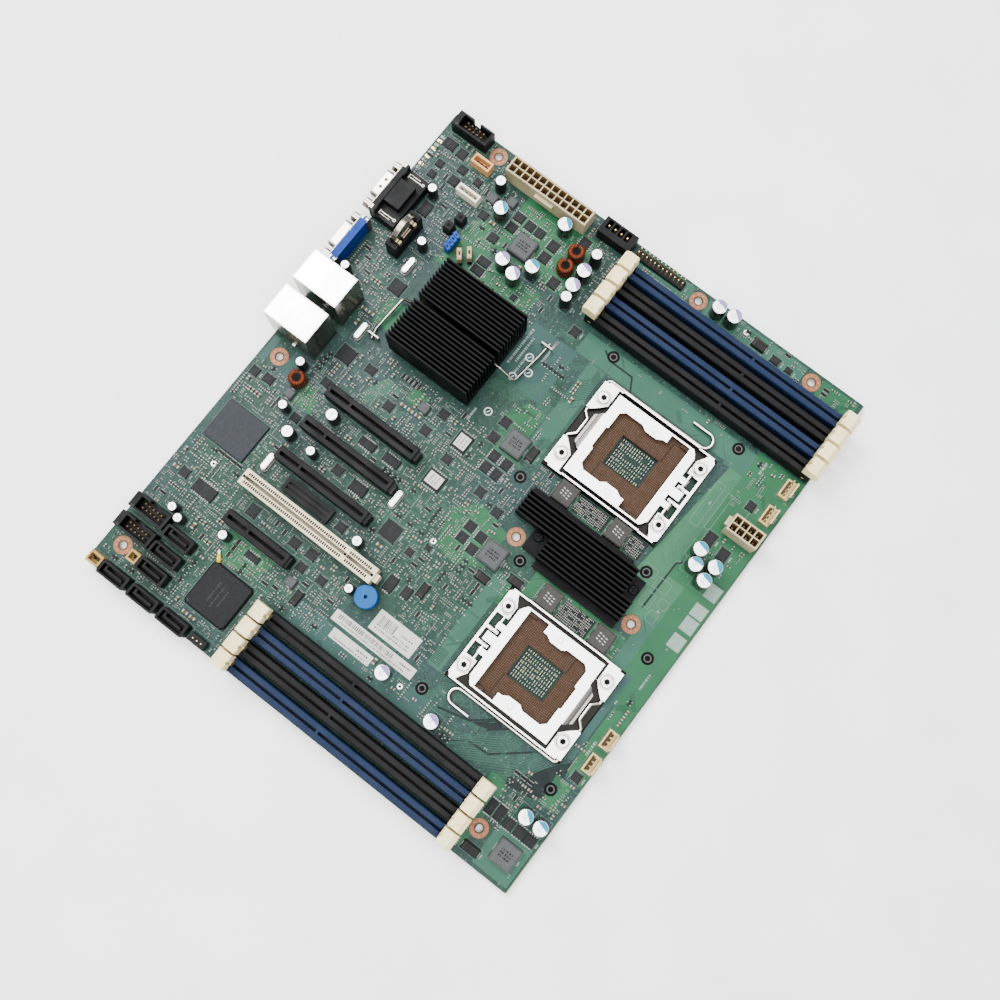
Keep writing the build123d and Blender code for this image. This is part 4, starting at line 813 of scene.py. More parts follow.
def make_vias():
    """Small tented and bare vias, scattered where no part stands."""
    dots = Piece()
    for _index in range(2600):
        x, y = RANDOM.uniform(2, BOARD_X - 2), RANDOM.uniform(2, BOARD_Y - 2)
        if board_clear(x, y, 1.0) and ROOM.free(x - 0.3, x + 0.3, y - 0.3, y + 0.3):
            mark = "dull_solder" if RANDOM.random() < 0.3 else "trace"
            dots.disc(x, y, RANDOM.choice((0.24, 0.28, 0.34)), 0.0, 0.03, mark, 8)
    dots.make("via_pads", "gold_pins")


def make_hole_rings():
    """Bare copper round each mounting hole with its ring of solder dots, and the smaller ringed holes; black
    discs and rings of painted shade stand for the shaded bores of the small holes and cooler bosses.
    """
    rings = Piece()
    for x, y in MOUNT_HOLES:
        rings.ring(x, y, 5.1, 4.85, 0.0, 0.03, "trace_dark", 40)
        rings.ring(x, y, 4.9, 2.02, 0.0, 0.035, "copper", 40)
        rings.ring(x, y, 4.9, 2.02, -BOARD_T - 0.035, -BOARD_T, "copper", 40)
        rings.ring(x, y, 2.5, 1.97, 0.0, 0.05, "brown_plastic", 32)
        for angle in circle(8):
            rings.disc(*around(x, y, 3.6, angle + 0.2), 0.42, 0.03, 0.10, "copper_worn", 10, 0.3)
    for x, y in ((76.6, 19.5), (113.7, 133.2), (46.4, 164.8), (299.8, 195.1)):
        rings.ring(x, y, 1.5, 0.7, 0.0, 0.05, "solder", 20)
        rings.disc(x, y, 0.72, 0.0, 0.03, "hollow", 16)
    # Painted shade: a black ring and a black disc stand for the shaded bore round each cooler boss.
    for x, y in boss_places():
        rings.ring(x, y, 3.3, 2.0, 0.0, 0.06, "hollow", 32)
        rings.ring(x, y, 2.02, 1.5, 0.0, 0.05, "boss_steel", 32)
        rings.disc(x, y, 1.5, 0.0, 0.045, "hollow", 20)
    rings.make("hole_rings", "gold_pins")


def text_bars(piece, x, y, length, height, mark, turn=0.0, z=0.0):
    """A row of short bars where the real thing has print: no letters."""
    place, angle = -length / 2, math.radians(turn)
    while place < length / 2 - 0.3:
        width = RANDOM.choice((0.35, 0.5, 0.5, 0.7, 0.9))
        piece.box(*around(x, y, place + width / 2, angle), width, height, z, z + 0.03, mark, turn)
        place += width + RANDOM.choice((0.3, 0.4, 0.7))


def outline_box(piece, x0, x1, y0, y1, width=0.16, z=PRINT_Z, mark="faint_print"):
    middle_x, middle_y = (x0 + x1) / 2, (y0 + y1) / 2
    for y in (y0, y1):
        piece.box(middle_x, y, x1 - x0 + width, width, 0, z, mark)
    for x in (x0, x1):
        piece.box(x, middle_y, width, y1 - y0 + width, 0, z, mark)


# Printed outlines of places that are left empty: middle x, y, width and depth.
FREE_OUTLINES = [
    (152.0, 226.5, 5, 8), (160.0, 228.0, 7, 5), (168.5, 229.0, 5, 8), (156.0, 236.5, 8, 6),
    (166.0, 238.5, 6, 8), (150.0, 243.5, 6, 5), (158.5, 244.5, 5, 5), (214.0, 232.0, 26, 5),
    (214.0, 239.0, 22, 3),
]


OUTLINED_NODES = [
    "logic_chips", "power_transistors", "polymer_capacitors", "electrolytic_capacitors", "crystals",
    "inductors", "tantalum_capacitors", "large_packages", "pin_headers", "fan_and_wafer_headers",
    "box_headers", "sata_connectors",
]
PRINTED_PADS_X = [(143.4, 151.4), (154.0, 162.0), (162.9, 170.1), (174.4, 182.6)]
# Longer rows of bars: middle x, y and length.
PRINTED_ROWS = [
    (222.0, 106.0, 22), (222.0, 109.0, 16), (214.0, 112.0, 10), (228.0, 120.0, 12), (178.0, 108.0, 8),
    (246.0, 244.0, 7), (122.0, 260.0, 9), (80.0, 258.0, 8),
]


def print_part_outlines(lines):
    """An outline round each larger part, and a short row of bars where there is room in front of it."""
    for name in OUTLINED_NODES:
        for low, high in loose_boxes(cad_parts[name]):
            if low[2] < 1.0 and high[0] - low[0] > 2.5 and high[1] - low[1] > 2.5:
                outline_box(lines, max(0.5, low[0] - 0.7), min(BOARD_X - 0.5, high[0] + 0.7),
                            max(0.5, low[1] - 0.7), min(BOARD_Y - 0.5, high[1] + 0.7))
                x, y = (low[0] + high[0]) / 2, high[1] + 1.5
                if ROOM.free(x - 1.5, x + 1.5, y - 0.3, y + 0.4):
                    text_bars(lines, x, y, 2.6, 0.8, "silkscreen")
                    ROOM.take(x - 1.7, x + 1.7, y - 0.6, y + 0.6)


def make_silkscreen():
    """The printed legend: outlines, bars in place of print, pale pads and plain rings."""
    lines = Piece()
    print_part_outlines(lines)
    for x, rear, _key in MEMORY_SLOTS:
        for y in (rear - 10.0, rear + SLOT_LENGTH + 10.0):
            if 3 < y < BOARD_Y - 3:
                text_bars(lines, x, y, 4.5, 0.9, "silkscreen")
    for x, y0, y1 in PCIE_SLOTS:
        outline_box(lines, x - 4.4, x + 4.4, y0 - 1.0, y1 + 3.0)
    for x0, x1 in PRINTED_PADS_X:
        lines.prism(rectangle(x0, x1, 257.2, 264.6), 0.0, PRINT_Z, "pad_pale")
        for row in range(3):
            text_bars(lines, (x0 + x1) / 2, 259.0 + row * 2.0, x1 - x0 - 2.0, 0.5, "silkscreen", 0, PRINT_Z)
    for x, y, width, depth in FREE_OUTLINES:
        outline_box(lines, x - width / 2, x + width / 2, y - depth / 2, y + depth / 2, 0.22)
    for x, y, length in PRINTED_ROWS:
        text_bars(lines, x, y, length, 1.3, "silkscreen")
    for x, y in ((206.5, 112.5), (213.0, 118.0), (220.0, 113.5), (184.0, 114.0)):
        lines.ring(x, y, 2.3, 1.6, 0.0, PRINT_Z, "white_print", 28)
        lines.box(x, y, 1.9, 0.5, 0.0, PRINT_Z, "white_print", 35)
    for _index in range(110):
        x, y = RANDOM.uniform(4, BOARD_X - 4), RANDOM.uniform(4, BOARD_Y - 4)
        if board_clear(x, y, 2.0) and ROOM.free(x - 1.2, x + 1.2, y - 0.5, y + 0.5):
            text_bars(lines, x, y, 1.9, 0.7, "silkscreen", RANDOM.choice((0, 90)))
    lines.make("silkscreen", "board_laminate")


LABELS = [(51.7, 57.8, 116.2, 166.8), (44.1, 49.6, 120.8, 145.8), (59.6, 71.1, 133.9, 159.9)]


def make_labels():
    """Stuck-on paper labels with plain bars; the second one carries no bar code."""
    labels, top = Piece(), 0.14
    for index, (x0, x1, y0, y1) in enumerate(LABELS):
        labels.prism(rectangle(x0, x1, y0, y1), 0.0, top, "label", 0.004)
        width, length = x1 - x0, y1 - y0
        coded = index != 1
        if coded:
            y = y0 + 3.0
            while y < y1 - 14.0:
                bar = RANDOM.choice((0.25, 0.4, 0.6))
                labels.box(x0 + width * 0.62, y + bar / 2, width * 0.42, bar, top, top + 0.02, "ink")
                y += bar + RANDOM.choice((0.3, 0.45, 0.7))
        for row in (0.2, 0.36) if width > 7 else (0.22,):
            text_bars(labels, x0 + width * row, (y0 + y1) / 2, length * 0.8, 0.7, "ink", 90, top)
        text_bars(labels, x0 + width * 0.6, y1 - 6.0, 7.0, 0.9, "ink", 90, top)
    for x, y, w, d in ((138.6, 114.3, 6.6, 8.4), (163.0, 113.5, 7.4, 6.6)):
        labels.box(x, y, w, d, 1.3, 1.42, "label")
        for row in (-1, 0, 1):
            text_bars(labels, x, y + row * 1.8, w - 1.6, 0.6, "ink", 0, 1.42)
    labels.make("paper_labels", "ivory_plastic")


# ---------------------------------------------------------------- small soldered parts
def chip_part(piece, x, y, turn, length, width, height, body, pads=True):
    """A two-ended chip: body between its metal ends, on its solder pads."""
    cap = length * 0.22
    spot = (x, y, turn)
    piece.turned_box(spot, 0, 0, length - 2 * cap, width, 0.05, height, body)
    for side in (-1, 1):
        piece.turned_box(spot, side * (length - cap) / 2, 0, cap, width, 0.0, height + 0.02, "dull_tin")
        if pads:
            piece.turned_box(spot, side * (length / 2 + 0.1), 0, 0.35, width, 0.0, 0.12, "dull_solder")


def resistor_array(piece, spot):
    piece.turned_box(spot, 0, 0, 3.2, 1.6, 0.05, 0.55, "resistor", 0.04)
    for side in (-1, 1):
        for step in range(4):
            piece.turned_box(spot, (step - 1.5) * 0.8, side * 0.85, 0.45, 0.45, 0.0, 0.5, "dull_tin")


def small_transistor(piece, spot):
    piece.turned_box(spot, 0, 0, 2.9, 1.3, 0.15, 1.0, "mould", 0.08)
    for u, v in ((-0.95, 1.0), (0.95, 1.0), (0.0, -1.0)):
        piece.turned_box(spot, u, v, 0.4, 0.7, 0.0, 0.3, "dull_tin")


PART_KINDS = {  # half extents kept clear, along and across, and how often each is drawn
    "small_resistor": (0.9, 0.45, 26), "small_capacitor": (0.9, 0.45, 20), "capacitor": (1.25, 0.7, 20),
    "resistor": (1.25, 0.7, 14), "large_capacitor": (1.6, 0.95, 9), "array": (1.85, 1.15, 9),
    "transistor": (1.7, 1.5, 5), "bulk_capacitor": (2.2, 1.3, 3),
}


CHIP_SIZES = {  # piece, length, width, height and the bodies to choose from
    "small_resistor": ("resistors", 1.0, 0.5, 0.35, ["resistor"]),
    "small_capacitor": ("capacitors", 1.0, 0.5, 0.5, ["ceramic_tan"]),
    "resistor": ("resistors", 1.6, 0.8, 0.45, ["resistor"]),
    "capacitor": ("capacitors", 1.6, 0.8, 0.8, ["ceramic_tan", "ceramic_grey"]),
    "large_capacitor": ("capacitors", 2.0, 1.25, 1.2, ["ceramic_tan"]),
    "bulk_capacitor": ("capacitors", 3.2, 1.6, 1.5, ["ceramic_tan"]),
}


def place_part(pieces, kind, x, y, turn):
    if kind == "array":
        resistor_array(pieces["resistors"], (x, y, turn))
    elif kind == "transistor":
        small_transistor(pieces["transistors"], (x, y, turn))
    else:
        name, length, width, height, bodies = CHIP_SIZES[kind]
        body = RANDOM.choice(bodies) if len(bodies) > 1 else bodies[0]
        chip_part(pieces[name], x, y, turn, length, width, height, body)


# Where the small parts crowd: x0, x1, y0, y1 and how closely. Most tries find no room, so there are many.
TRIES = 7.5
CROWDS = [
    (3, 84, 2, 46, 2.6), (84, 160, 26, 44, 2.8), (108, 134, 2, 30, 3.0), (3, 60, 44, 92, 2.2),
    (40, 80, 46, 116, 2.2), (86, 178, 44, 106, 2.3), (178, 236, 2, 52, 3.0), (236, 304, 2, 60, 3.0),
    (232, 256, 52, 104, 1.6), (256, 304, 56, 124, 1.8), (84, 178, 104, 142, 2.3), (178, 200, 118, 142, 0.8),
    (60, 172, 142, 168, 1.7),
    (112, 128, 168, 184, 2.4), (168, 178, 152, 184, 2.4), (46, 66, 92, 116, 1.6), (40, 52, 96, 200, 0.7),
    (176, 200, 236, 262, 0.5), (196, 250, 238, 264, 0.35), (20, 62, 236, 264, 1.6), (60, 110, 236, 264, 0.25),
    (292, 304, 124, 264, 1.0), (236, 252, 120, 236, 0.08), (204, 240, 104, 146, 0.12),
    (120, 134, 184, 240, 0.8), (3, 44, 84, 94, 1.6),
]


CAPACITOR_FIELDS = [(168.5, 178.5, 179.0, 198.0), (120.6, 131.0, 204.6, 223.0), (168.5, 178.5, 211.0, 221.0)]


def make_small_parts():
    pieces = {name: Piece() for name in ("resistors", "capacitors", "transistors")}
    for x0, x1, y0, y1 in CAPACITOR_FIELDS:
        for row in range(int((y1 - y0) / 1.75)):
            for column in range(int((x1 - x0) / 1.15)):
                x, y = x0 + 0.6 + column * 1.15, y0 + 0.9 + row * 1.75
                if RANDOM.random() < 0.85:
                    chip_part(pieces["capacitors"], x, y, 90, 1.25, 0.65, 0.6,
                              RANDOM.choice(("ceramic_grey", "resistor", "ceramic_tan")), False)
        ROOM.take(x0, x1, y0, y1)
    kinds = [kind for kind, (_along, _across, share) in PART_KINDS.items() for _copy in range(share)]
    for x0, x1, y0, y1, density in CROWDS:
        for _row in range(int((x1 - x0) * (y1 - y0) / 100 * density * TRIES)):
            kind = RANDOM.choice(kinds)
            along, across, _share = PART_KINDS[kind]
            turn, stack = RANDOM.choice((0, 90)), RANDOM.choice((0, 90))
            half_x, half_y = (along, across) if turn == 0 else (across, along)
            x, y = RANDOM.uniform(x0, x1), RANDOM.uniform(y0, y1)
            for _copy in range(RANDOM.choice((1, 2, 3, 4, 6))):
                if not (x0 < x < x1 and y0 < y < y1 and board_clear(x, y, 1.0)):
                    break
                if ROOM.free(x - half_x, x + half_x, y - half_y, y + half_y):
                    place_part(pieces, kind, x, y, turn)
                    ROOM.take(x - half_x, x + half_x, y - half_y, y + half_y)
                if stack == 0:
                    x += 2 * half_x + 0.25
                else:
                    y += 2 * half_y + 0.25
    pieces["resistors"].make("chip_resistors", "chip_mould")
    pieces["capacitors"].make("chip_capacitors", "capacitor_can")
    pieces["transistors"].make("small_transistors", "chip_mould")


# ---------------------------------------------------------------- chips, coils and cans
# The logic chips with bent leads; the others have pads under all four sides.
LEADED_CHIPS = [(63.2, 24.9), (51.5, 66.0), (111.6, 86.3), (132.4, 75.6), (133.2, 90.8), (138.6, 114.3),
                (163.0, 113.5), (83.6, 129.6), (84.8, 138.8)]


def edge_lead(piece, low, high, axis, side, place, reach, width, top):
    """A lead out of one side of a chip, at that place along the side."""
    edge = (high if side > 0 else low)[axis] + side * reach / 2
    if axis == 0:
        piece.box(edge, place, reach, width, 0.0, top, "dull_tin")
    else:
        piece.box(place, edge, width, reach, 0.0, top, "dull_tin")


def middle_of(low, high):
    return (low[0] + high[0]) / 2, (low[1] + high[1]) / 2


def chip_leads(legs, prints):
    """Leads or pads on the sides of the logic chips, with the first pin's dot and faint bars."""
    for low, high in loose_boxes(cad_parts["logic_chips"]):
        x, y = middle_of(low, high)
        top = high[2]
        leaded = any(abs(x - chip_x) < 0.6 and abs(y - chip_y) < 0.6 for chip_x, chip_y in LEADED_CHIPS)
        reach, pitch = (1.0, 1.27) if leaded else (0.25, 0.65)
        for side in (-1, 1):
            for axis in (0,) if leaded else (0, 1):
                along = 1 - axis
                for step in range(int((high[along] - low[along] - 0.6) / pitch)):
                    place = low[along] + 0.5 + pitch * (step + 0.5)
                    edge_lead(legs, low, high, axis, side, place, reach, pitch * 0.42, 0.16)
                    if leaded:
                        edge_lead(legs, low, high, axis, side, place, 0.36, pitch * 0.36, 0.7)
        prints.disc(low[0] + 0.9, low[1] + 0.9, 0.28, top, top + 0.012, "mark", 12)
        if high[0] - low[0] > 3.6 and high[1] - low[1] > 3.6:
            for row in (-0.6, 0.6):
                text_bars(prints, x, y + row, (high[0] - low[0]) * 0.6, 0.4, "mark", 0, top - 0.018)


def transistor_leads(legs, prints):
    """Four leads on two sides of each power transistor, and a faint bar row on those outside the heatsink."""
    for low, high in loose_boxes(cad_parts["power_transistors"]):
        x, y = middle_of(low, high)
        axis = 0 if any(abs(x - column_x) < 1 for column_x in (277.2, 28.3, 27.0)) else 1
        along = 1 - axis
        for side in (-1, 1):
            for step in range(4):
                place = low[along] + (high[along] - low[along]) * ((step + 0.5) / 4)
                edge_lead(legs, low, high, axis, side, place, 0.6, 0.75, 0.22)
        if x < 137 or x > 159:
            text_bars(prints, x, y, (high[0] - low[0]) * 0.5, 0.5, "mark", 0, high[2] - 0.018)


def tantalum_leads(legs, prints):
    """The end leads and the polarity bar of each tantalum capacitor."""
    for low, high in loose_boxes(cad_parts["tantalum_capacitors"]):
        x, y = middle_of(low, high)
        size_x, size_y = high[0] - low[0], high[1] - low[1]
        if size_x > size_y:
            turn = 0
            prints.box(low[0] + 1.3, y, 0.8, size_y - 0.9, 2.4, 2.412, "mark")
        else:
            turn = 90
            prints.box(x, low[1] + 1.3, size_x - 0.9, 0.8, 2.4, 2.412, "mark")
        for end in (-1, 1):
            legs.turned_box((x, y, turn), end * max(size_x, size_y) / 2, 0, 0.5, 2.4, 0.0, 1.1, "dull_tin")


def make_chip_details():
    """Leads and pads, first pin dots and faint bars on the chips."""
    legs, prints = Piece(), Piece()
    chip_leads(legs, prints)
    transistor_leads(legs, prints)
    for x, y, half, top in ((26.5, 65.2, 12.8, 2.6), (97.0, 17.8, 11.5, 1.9)):
        prints.disc(x - half + 2.0, y - half + 2.0, 0.7, top, top + 0.012, "mark", 16)
        for row, length in ((-3.0, 11.0), (0.0, 14.0), (3.0, 9.0)):
            text_bars(prints, x, y + row, length, 1.1, "mark", 0, top - 0.018)
    tantalum_leads(legs, prints)
    legs.make("chip_leads", "tin_plate")
    prints.make("chip_prints", "chip_mould")


def half_disc(x, y, r, cut, sides, angle):
    """The part of a disc beyond a chord, as an outline."""
    spread = math.acos(cut / r)
    return [around(x, y, r, angle + spread * (2 * index / sides - 1)) for index in range(sides + 1)]


def make_can_tops():
    """The coloured segment and bars on the polymer cans, and the sleeve and vent lines of the others."""
    tops, sleeves = Piece(), Piece()
    face_r, face_z = POLYMER_R - 0.4, POLYMER_TOP + 0.02
    for x, y, mark in POLYMER_CAPS:
        tops.disc(x, y, face_r, POLYMER_TOP, POLYMER_TOP + 0.03, "white_top", 32)
        angle = math.radians(RANDOM.choice((0, 15, 40)))
        tops.prism(half_disc(x, y, face_r, 1.1, 12, angle), face_z, POLYMER_TOP + 0.06, mark)
        for row in (-1.0, 0.2):
            text_bars(tops, x, y + row, 2.8, 0.5, mark, 0, face_z)
        tops.disc(x, y, POLYMER_R * 0.92, 0.0, 0.55, "resistor", 24)
    for x, y, r, top in SLEEVED_CAPS:
        sleeves.ring(x, y, r + 0.06, r - 0.45, 2.4, top + 0.05, "sleeve", 32)
        sleeves.ring(x, y, r + 0.06, r - 0.2, 0.7, 1.5, "sleeve", 32)
        tops.disc(x, y, r - 0.4, top, top + 0.02, "white_top", 24)
        for turn in (0, 60, 120):
            tops.box(x, y, 2 * r - 1.8, 0.12, top + 0.01, top + 0.035, "ceramic_grey", turn)
        sleeves.box(x, y - r - 0.03, r * 0.7, 0.1, 2.8, top - 0.6, "white_top")
    tops.make("capacitor_tops", "capacitor_can")
    sleeves.make("capacitor_sleeves", "black_plastic")


def make_windings():
    """Copper wire round the ring cores, each turn a flattened loop, and a black disc of painted shade in each
    core's hole.
    """
    wires = Piece()
    turns, steps = 22, 12
    for x, y in TOROIDS:
        for turn in range(turns):
            angle = 2 * math.pi * turn / turns * 0.93
            loop = []
            for step in range(steps + 1):
                share = 2 * math.pi * step / steps
                r = 3.25 + 1.12 * max(-1.0, min(1.0, 1.35 * math.cos(share)))
                z = 4.3 + 3.95 * max(-1.0, min(1.0, 1.25 * math.sin(share)))
                loop.append((*around(x, y, r, angle + 0.10 * step / steps), z))
            wires.tube(loop, 0.36, "wire_copper", 6)
        wires.disc(x, y, 2.35, 1.5, 8.1, "hollow", 24, 0.08)
    wires.make("toroid_windings", "gold_pins")


def make_coils():
    """The windings, and the marks and end tabs on the moulded coils."""
    make_windings()
    tabs = Piece()
    for low, high in loose_boxes(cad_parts["inductors"]):
        x, y = middle_of(low, high)
        top = high[2]
        if top > 7:
            continue
        if high[0] - low[0] < 6:
            tabs.pair(x, y, 2.85, 0.6, 2.0, 0.0, 0.6, "dull_tin")
        elif top < 5:
            for row in (-1.7, 0.0, 1.7):
                text_bars(tabs, x + row, y, 6.5, 1.0, "resistor", 90, top - 0.012)
            for side in (-1, 1):
                tabs.box(x, y + side * 6.3, 4.0, 0.4, 0.0, 0.8, "dull_tin")
        else:
            for end in (-1, 1):
                tabs.pair(x, y + end * 5.55, 2.9, 1.8, 0.3, 0.0, 1.4, "dull_tin")
            for row in (-2.0, 0.0, 2.0):
                for step in range(3):
                    mark_x = x + (step - 1.0) * 1.6 - row * 0.15
                    tabs.box(mark_x, y + row, 0.55, 1.2, top, top + 0.015, "silver_mark", 8)
    tabs.make("coil_tabs", "tin_plate")


# ---------------------------------------------------------------- processor sockets
def socket_spot(cpu, u, v):
    """A place in a socket's own axes, on the board."""
    x, y, turn = CPUS[cpu]
    return x + turn * u, y - turn * v


def star(x, y, outer, inner, tips):
    """The outline of a star with that many tips."""
    return [around(x, y, outer if index % 2 else inner, angle)
            for index, angle in enumerate(circle(2 * tips))]


def make_socket_rim_shadows():
    """Dark bands of painted shadow round each socket's frame."""
    rim_shadows = Piece()
    for cpu in CPUS:
        for u in (-27.5, 27.5):
            x, y = socket_spot(cpu, u, 0.2)
            rim_shadows.box(x, y, 0.7, 71.4, 0.0, 0.05, "hollow")
        for v in (-35.2, 35.6):
            x, y = socket_spot(cpu, 0.0, v)
            rim_shadows.box(x, y, 55.6, 0.7, 0.0, 0.05, "hollow")
    rim_shadows.make("socket_rim_shadows", "black_plastic")


def contact_field(field, cpu):
    """The contacts in two L-shaped halves, with the seam between them."""
    pitch, floor = 1.016, 3.0
    for column in range(-20, 21):
        for row in range(-21, 22):
            u, v = column * pitch, row * pitch
            seam_v = 12.4 if u < 0 else -12.4
            over_cavity = abs(u) < 10.0 and abs(v) < 12.0
            on_seam = abs(v - seam_v) < 0.3 and abs(u) > 9
            if not over_cavity and not on_seam:
                x, y = socket_spot(cpu, u, v)
                field.box(x, y, 0.56, 0.34, floor, floor + 0.14, "field_contact", 35, 0.3)
    for side in (-1, 1):
        x, y = socket_spot(cpu, side * 15.2, -side * 12.0)
        field.box(x, y, 11.6, 0.35, floor, floor + 0.3, "brown_plastic")


def cavity_parts(cavity, cpu):
    """The rows of small parts in a socket's cavity."""
    cavity.box(*socket_spot(cpu, 0.0, 0.0), 17.0, 21.0, 0.0, 0.04, "trace_dark")
    for column in range(8):
        for row in range(7):
            x, y = socket_spot(cpu, (column - 3.5) * 2.1 + RANDOM.uniform(-0.3, 0.3), (row - 3) * 2.9)
            if RANDOM.random() < 0.05:
                continue
            body = RANDOM.choice(("ceramic_tan", "resistor", "resistor", "resistor"))
            width = RANDOM.choice((0.95, 1.2, 1.4))
            cavity.box(x, y, width, 1.1, 0.05, 0.7, body)
            for end in (-1, 1):
                tip = RANDOM.choice(("cavity_tip", "cavity_tip", "dull_tin"))
                cavity.box(x, y + end * 0.68, width, 0.34, 0.0, 0.74, tip)


def make_contacts():
    """The contact fields, the small parts in the cavities, and painted shade in the drives and round the
    edges of the frame screws.
    """
    field, cavity = Piece(), Piece()
    for cpu in CPUS:
        contact_field(field, cpu)
        cavity_parts(cavity, cpu)
        for u in (-18.05, 18.05):
            for v in (-30.5, 30.5):
                x, y = socket_spot(cpu, u, v)
                # Painted shade: a black star in each screw's drive and a dark ring round its washer.
                cavity.prism(star(x, y, 1.9, 1.05, 6), 5.5, 6.13, "hollow")
                cavity.ring(x, y, 4.15, 3.95, 4.4, 4.43, "boss_steel", 32)
    field.make("socket_contacts", "gold_pins")
    cavity.make("cavity_parts", "capacitor_can")


# ---------------------------------------------------------------- slots
# The conventional expansion slot: middle x, first contact's y, contact pitch and number of contacts.
PCI_X, PCI_FIRST_Y, PCI_PITCH, PCI_COUNT = 81.1, 41.0, 1.27, 62


def make_slot_contacts():
    """Gold contacts in each slot's slit, most darkened as painted shade, and the openings that part them,
    painted black as shade.
    """
    gold, walls = Piece(), Piece()
    for x, rear, key in MEMORY_SLOTS:
        for step in range(118):
            y = rear + 5.0 + step * 1.0
            if abs(y - key) >= 1.4:
                gold.pair(x, y, 0.72, 0.16, 0.45, 4.6, 7.6, "slit_contact")
    for x, y0, y1 in PCIE_SLOTS:
        for step in range(int(y1 - y0 - 5)):
            y = y0 + 2.6 + step
            if abs(y - PCIE_KEY_Y) >= 1.3:
                gold.pair(x, y, 0.9, 0.2, 0.5, 4.0, 7.8, "slit_contact")
    for step in range(PCI_COUNT):
        y = PCI_FIRST_Y + step * PCI_PITCH
        if abs(y - 104.0) >= 1.6:
            walls.pair(PCI_X, y, 2.35, 1.5, 0.9, 11.12, 11.22, "hollow")
            gold.pair(PCI_X, y, 0.82, 0.16, 0.6, 5.0, 9.0, "contact")
    for y in (39.2, 103.9, 120.9):
        walls.disc(PCI_X, y, 0.75, 11.15, 11.24, "hollow", 16)
    walls.pair(PCI_X, 80.0, 0.86, 0.06, 79.0, 3.8, 11.0, "slot_shadow")
    for step in range(30):
        gold.pair(91.3, 58.2 + step * 0.85, 0.75, 0.2, 0.35, 2.4, 3.6, "slit_contact")
    gold.make("slot_contacts", "gold_pins")
    walls.make("slot_openings", "black_plastic")


def make_slot_ribs():
    """The long ribs and pockets moulded into the memory and expansion slots."""
    ribs = {"blue_plastic": Piece(), "black_plastic": Piece()}
    blue = {CPU1_SLOT_X[1], CPU1_SLOT_X[3], CPU2_SLOT_X[0], CPU2_SLOT_X[2]}
    for x, rear, _key in MEMORY_SLOTS:
        look = "blue_plastic" if x in blue else "black_plastic"
        piece = ribs[look]
        for shift, width in ((2.95, 0.35), (1.45, 0.3)):
            piece.pair(x, rear + SLOT_LENGTH / 2, shift, width, SLOT_LENGTH - 6, 9.6, 10.12, look)
        for step in range(60):
            y = rear + 5.5 + step * 2.0
            piece.pair(x, y, 2.2, 1.2, 0.3, 9.6, 10.08, look)
            piece.pair(x, y, 3.78, 0.12, 0.8, 1.0, 8.6, look)
    look = "black_plastic"
    piece = ribs[look]
    for x, y0, y1 in PCIE_SLOTS:
        piece.pair(x, (y0 + y1) / 2, 3.25, 0.3, y1 - y0 - 3, 10.6, 11.1, look)
        for step in range(int((y1 - y0 - 4) / 1.6)):
            y = y0 + 2.5 + step * 1.6
            piece.pair(x, y, 2.2, 1.4, 0.28, 10.6, 11.08, look)
            piece.pair(x, y, 3.75, 0.1, 0.6, 1.2, 9.6, look)
    for look, piece in ribs.items():
        piece.make(f"{look}_slot_ribs", look)


# ---------------------------------------------------------------- connectors
DRIVE_CONNECTORS = [(2.9, 18.6), (2.9, 37.6), (2.9, 56.6), (15.7, 32.4), (26.0, 32.4), (36.3, 32.4)]


def grid(x, y, columns, rows, pitch):
    """The places of a block of pins with its middle at x, y."""
    return [(x + (column - (columns - 1) / 2) * pitch, y + (row - (rows - 1) / 2) * pitch)
            for column in range(columns) for row in range(rows)]


def make_power_contacts():
    """The metal contacts down in the cells of the power connectors, with painted shade on each cell's floor
    and walls.
    """
    pins = Piece()
    for x, y, columns, rows in ((295.2, 69.4, 2, 12), (211.2, 254.9, 2, 4)):
        for pin_x, pin_y in grid(x, y, columns, rows, 4.2):
            pins.box(pin_x, pin_y, 3.55, 3.55, 3.0, 4.6, "slot_shadow")
            pins.box(pin_x, pin_y, 1.1, 1.1, 4.6, 9.0, "contact", 0, 0.25)
            for side in (-1, 1):
                pins.box(pin_x + side * 1.78, pin_y, 0.05, 3.58, 4.6, 12.7, "cell_brown")
                pins.box(pin_x, pin_y + side * 1.78, 3.58, 0.05, 4.6, 12.7, "cell_brown")
    for step in range(4):
        pins.box(300.4, 104.6 + step * 3.9, 0.64, 0.64, 2.5, 8.0, "gold")
    pins.make("power_contacts", "gold_pins")


def pin_strip(parts, x, y, columns, rows, top, mark, turn=0):
    """A plastic strip of pins."""
    parts.box(x, y, columns * 2.54, rows * 2.54, 0.0, 2.5, mark, turn, 0.02)
    angle = math.radians(turn)
    for u, v in grid(0, 0, columns, rows, 2.54):
        pin_x = x + u * math.cos(angle) - v * math.sin(angle)
        pin_y = y + u * math.sin(angle) + v * math.cos(angle)
        parts.box(pin_x, pin_y, 0.64, 0.64, 2.4, top, "gold", turn, 0.25)


def jumper_cap(parts, x, y, w, d, top, mark, turn=0):
    parts.box(x, y, w, d, 2.5, top - 0.5, mark, turn)
    parts.box(x, y, w - 0.2, d - 0.2, top - 0.5, top, mark, turn, 0.1)
    # Painted shade in the opening of the cap.
    parts.box(x, y, w * 0.34, d * 0.34, top, top + 0.05, "hollow", turn)


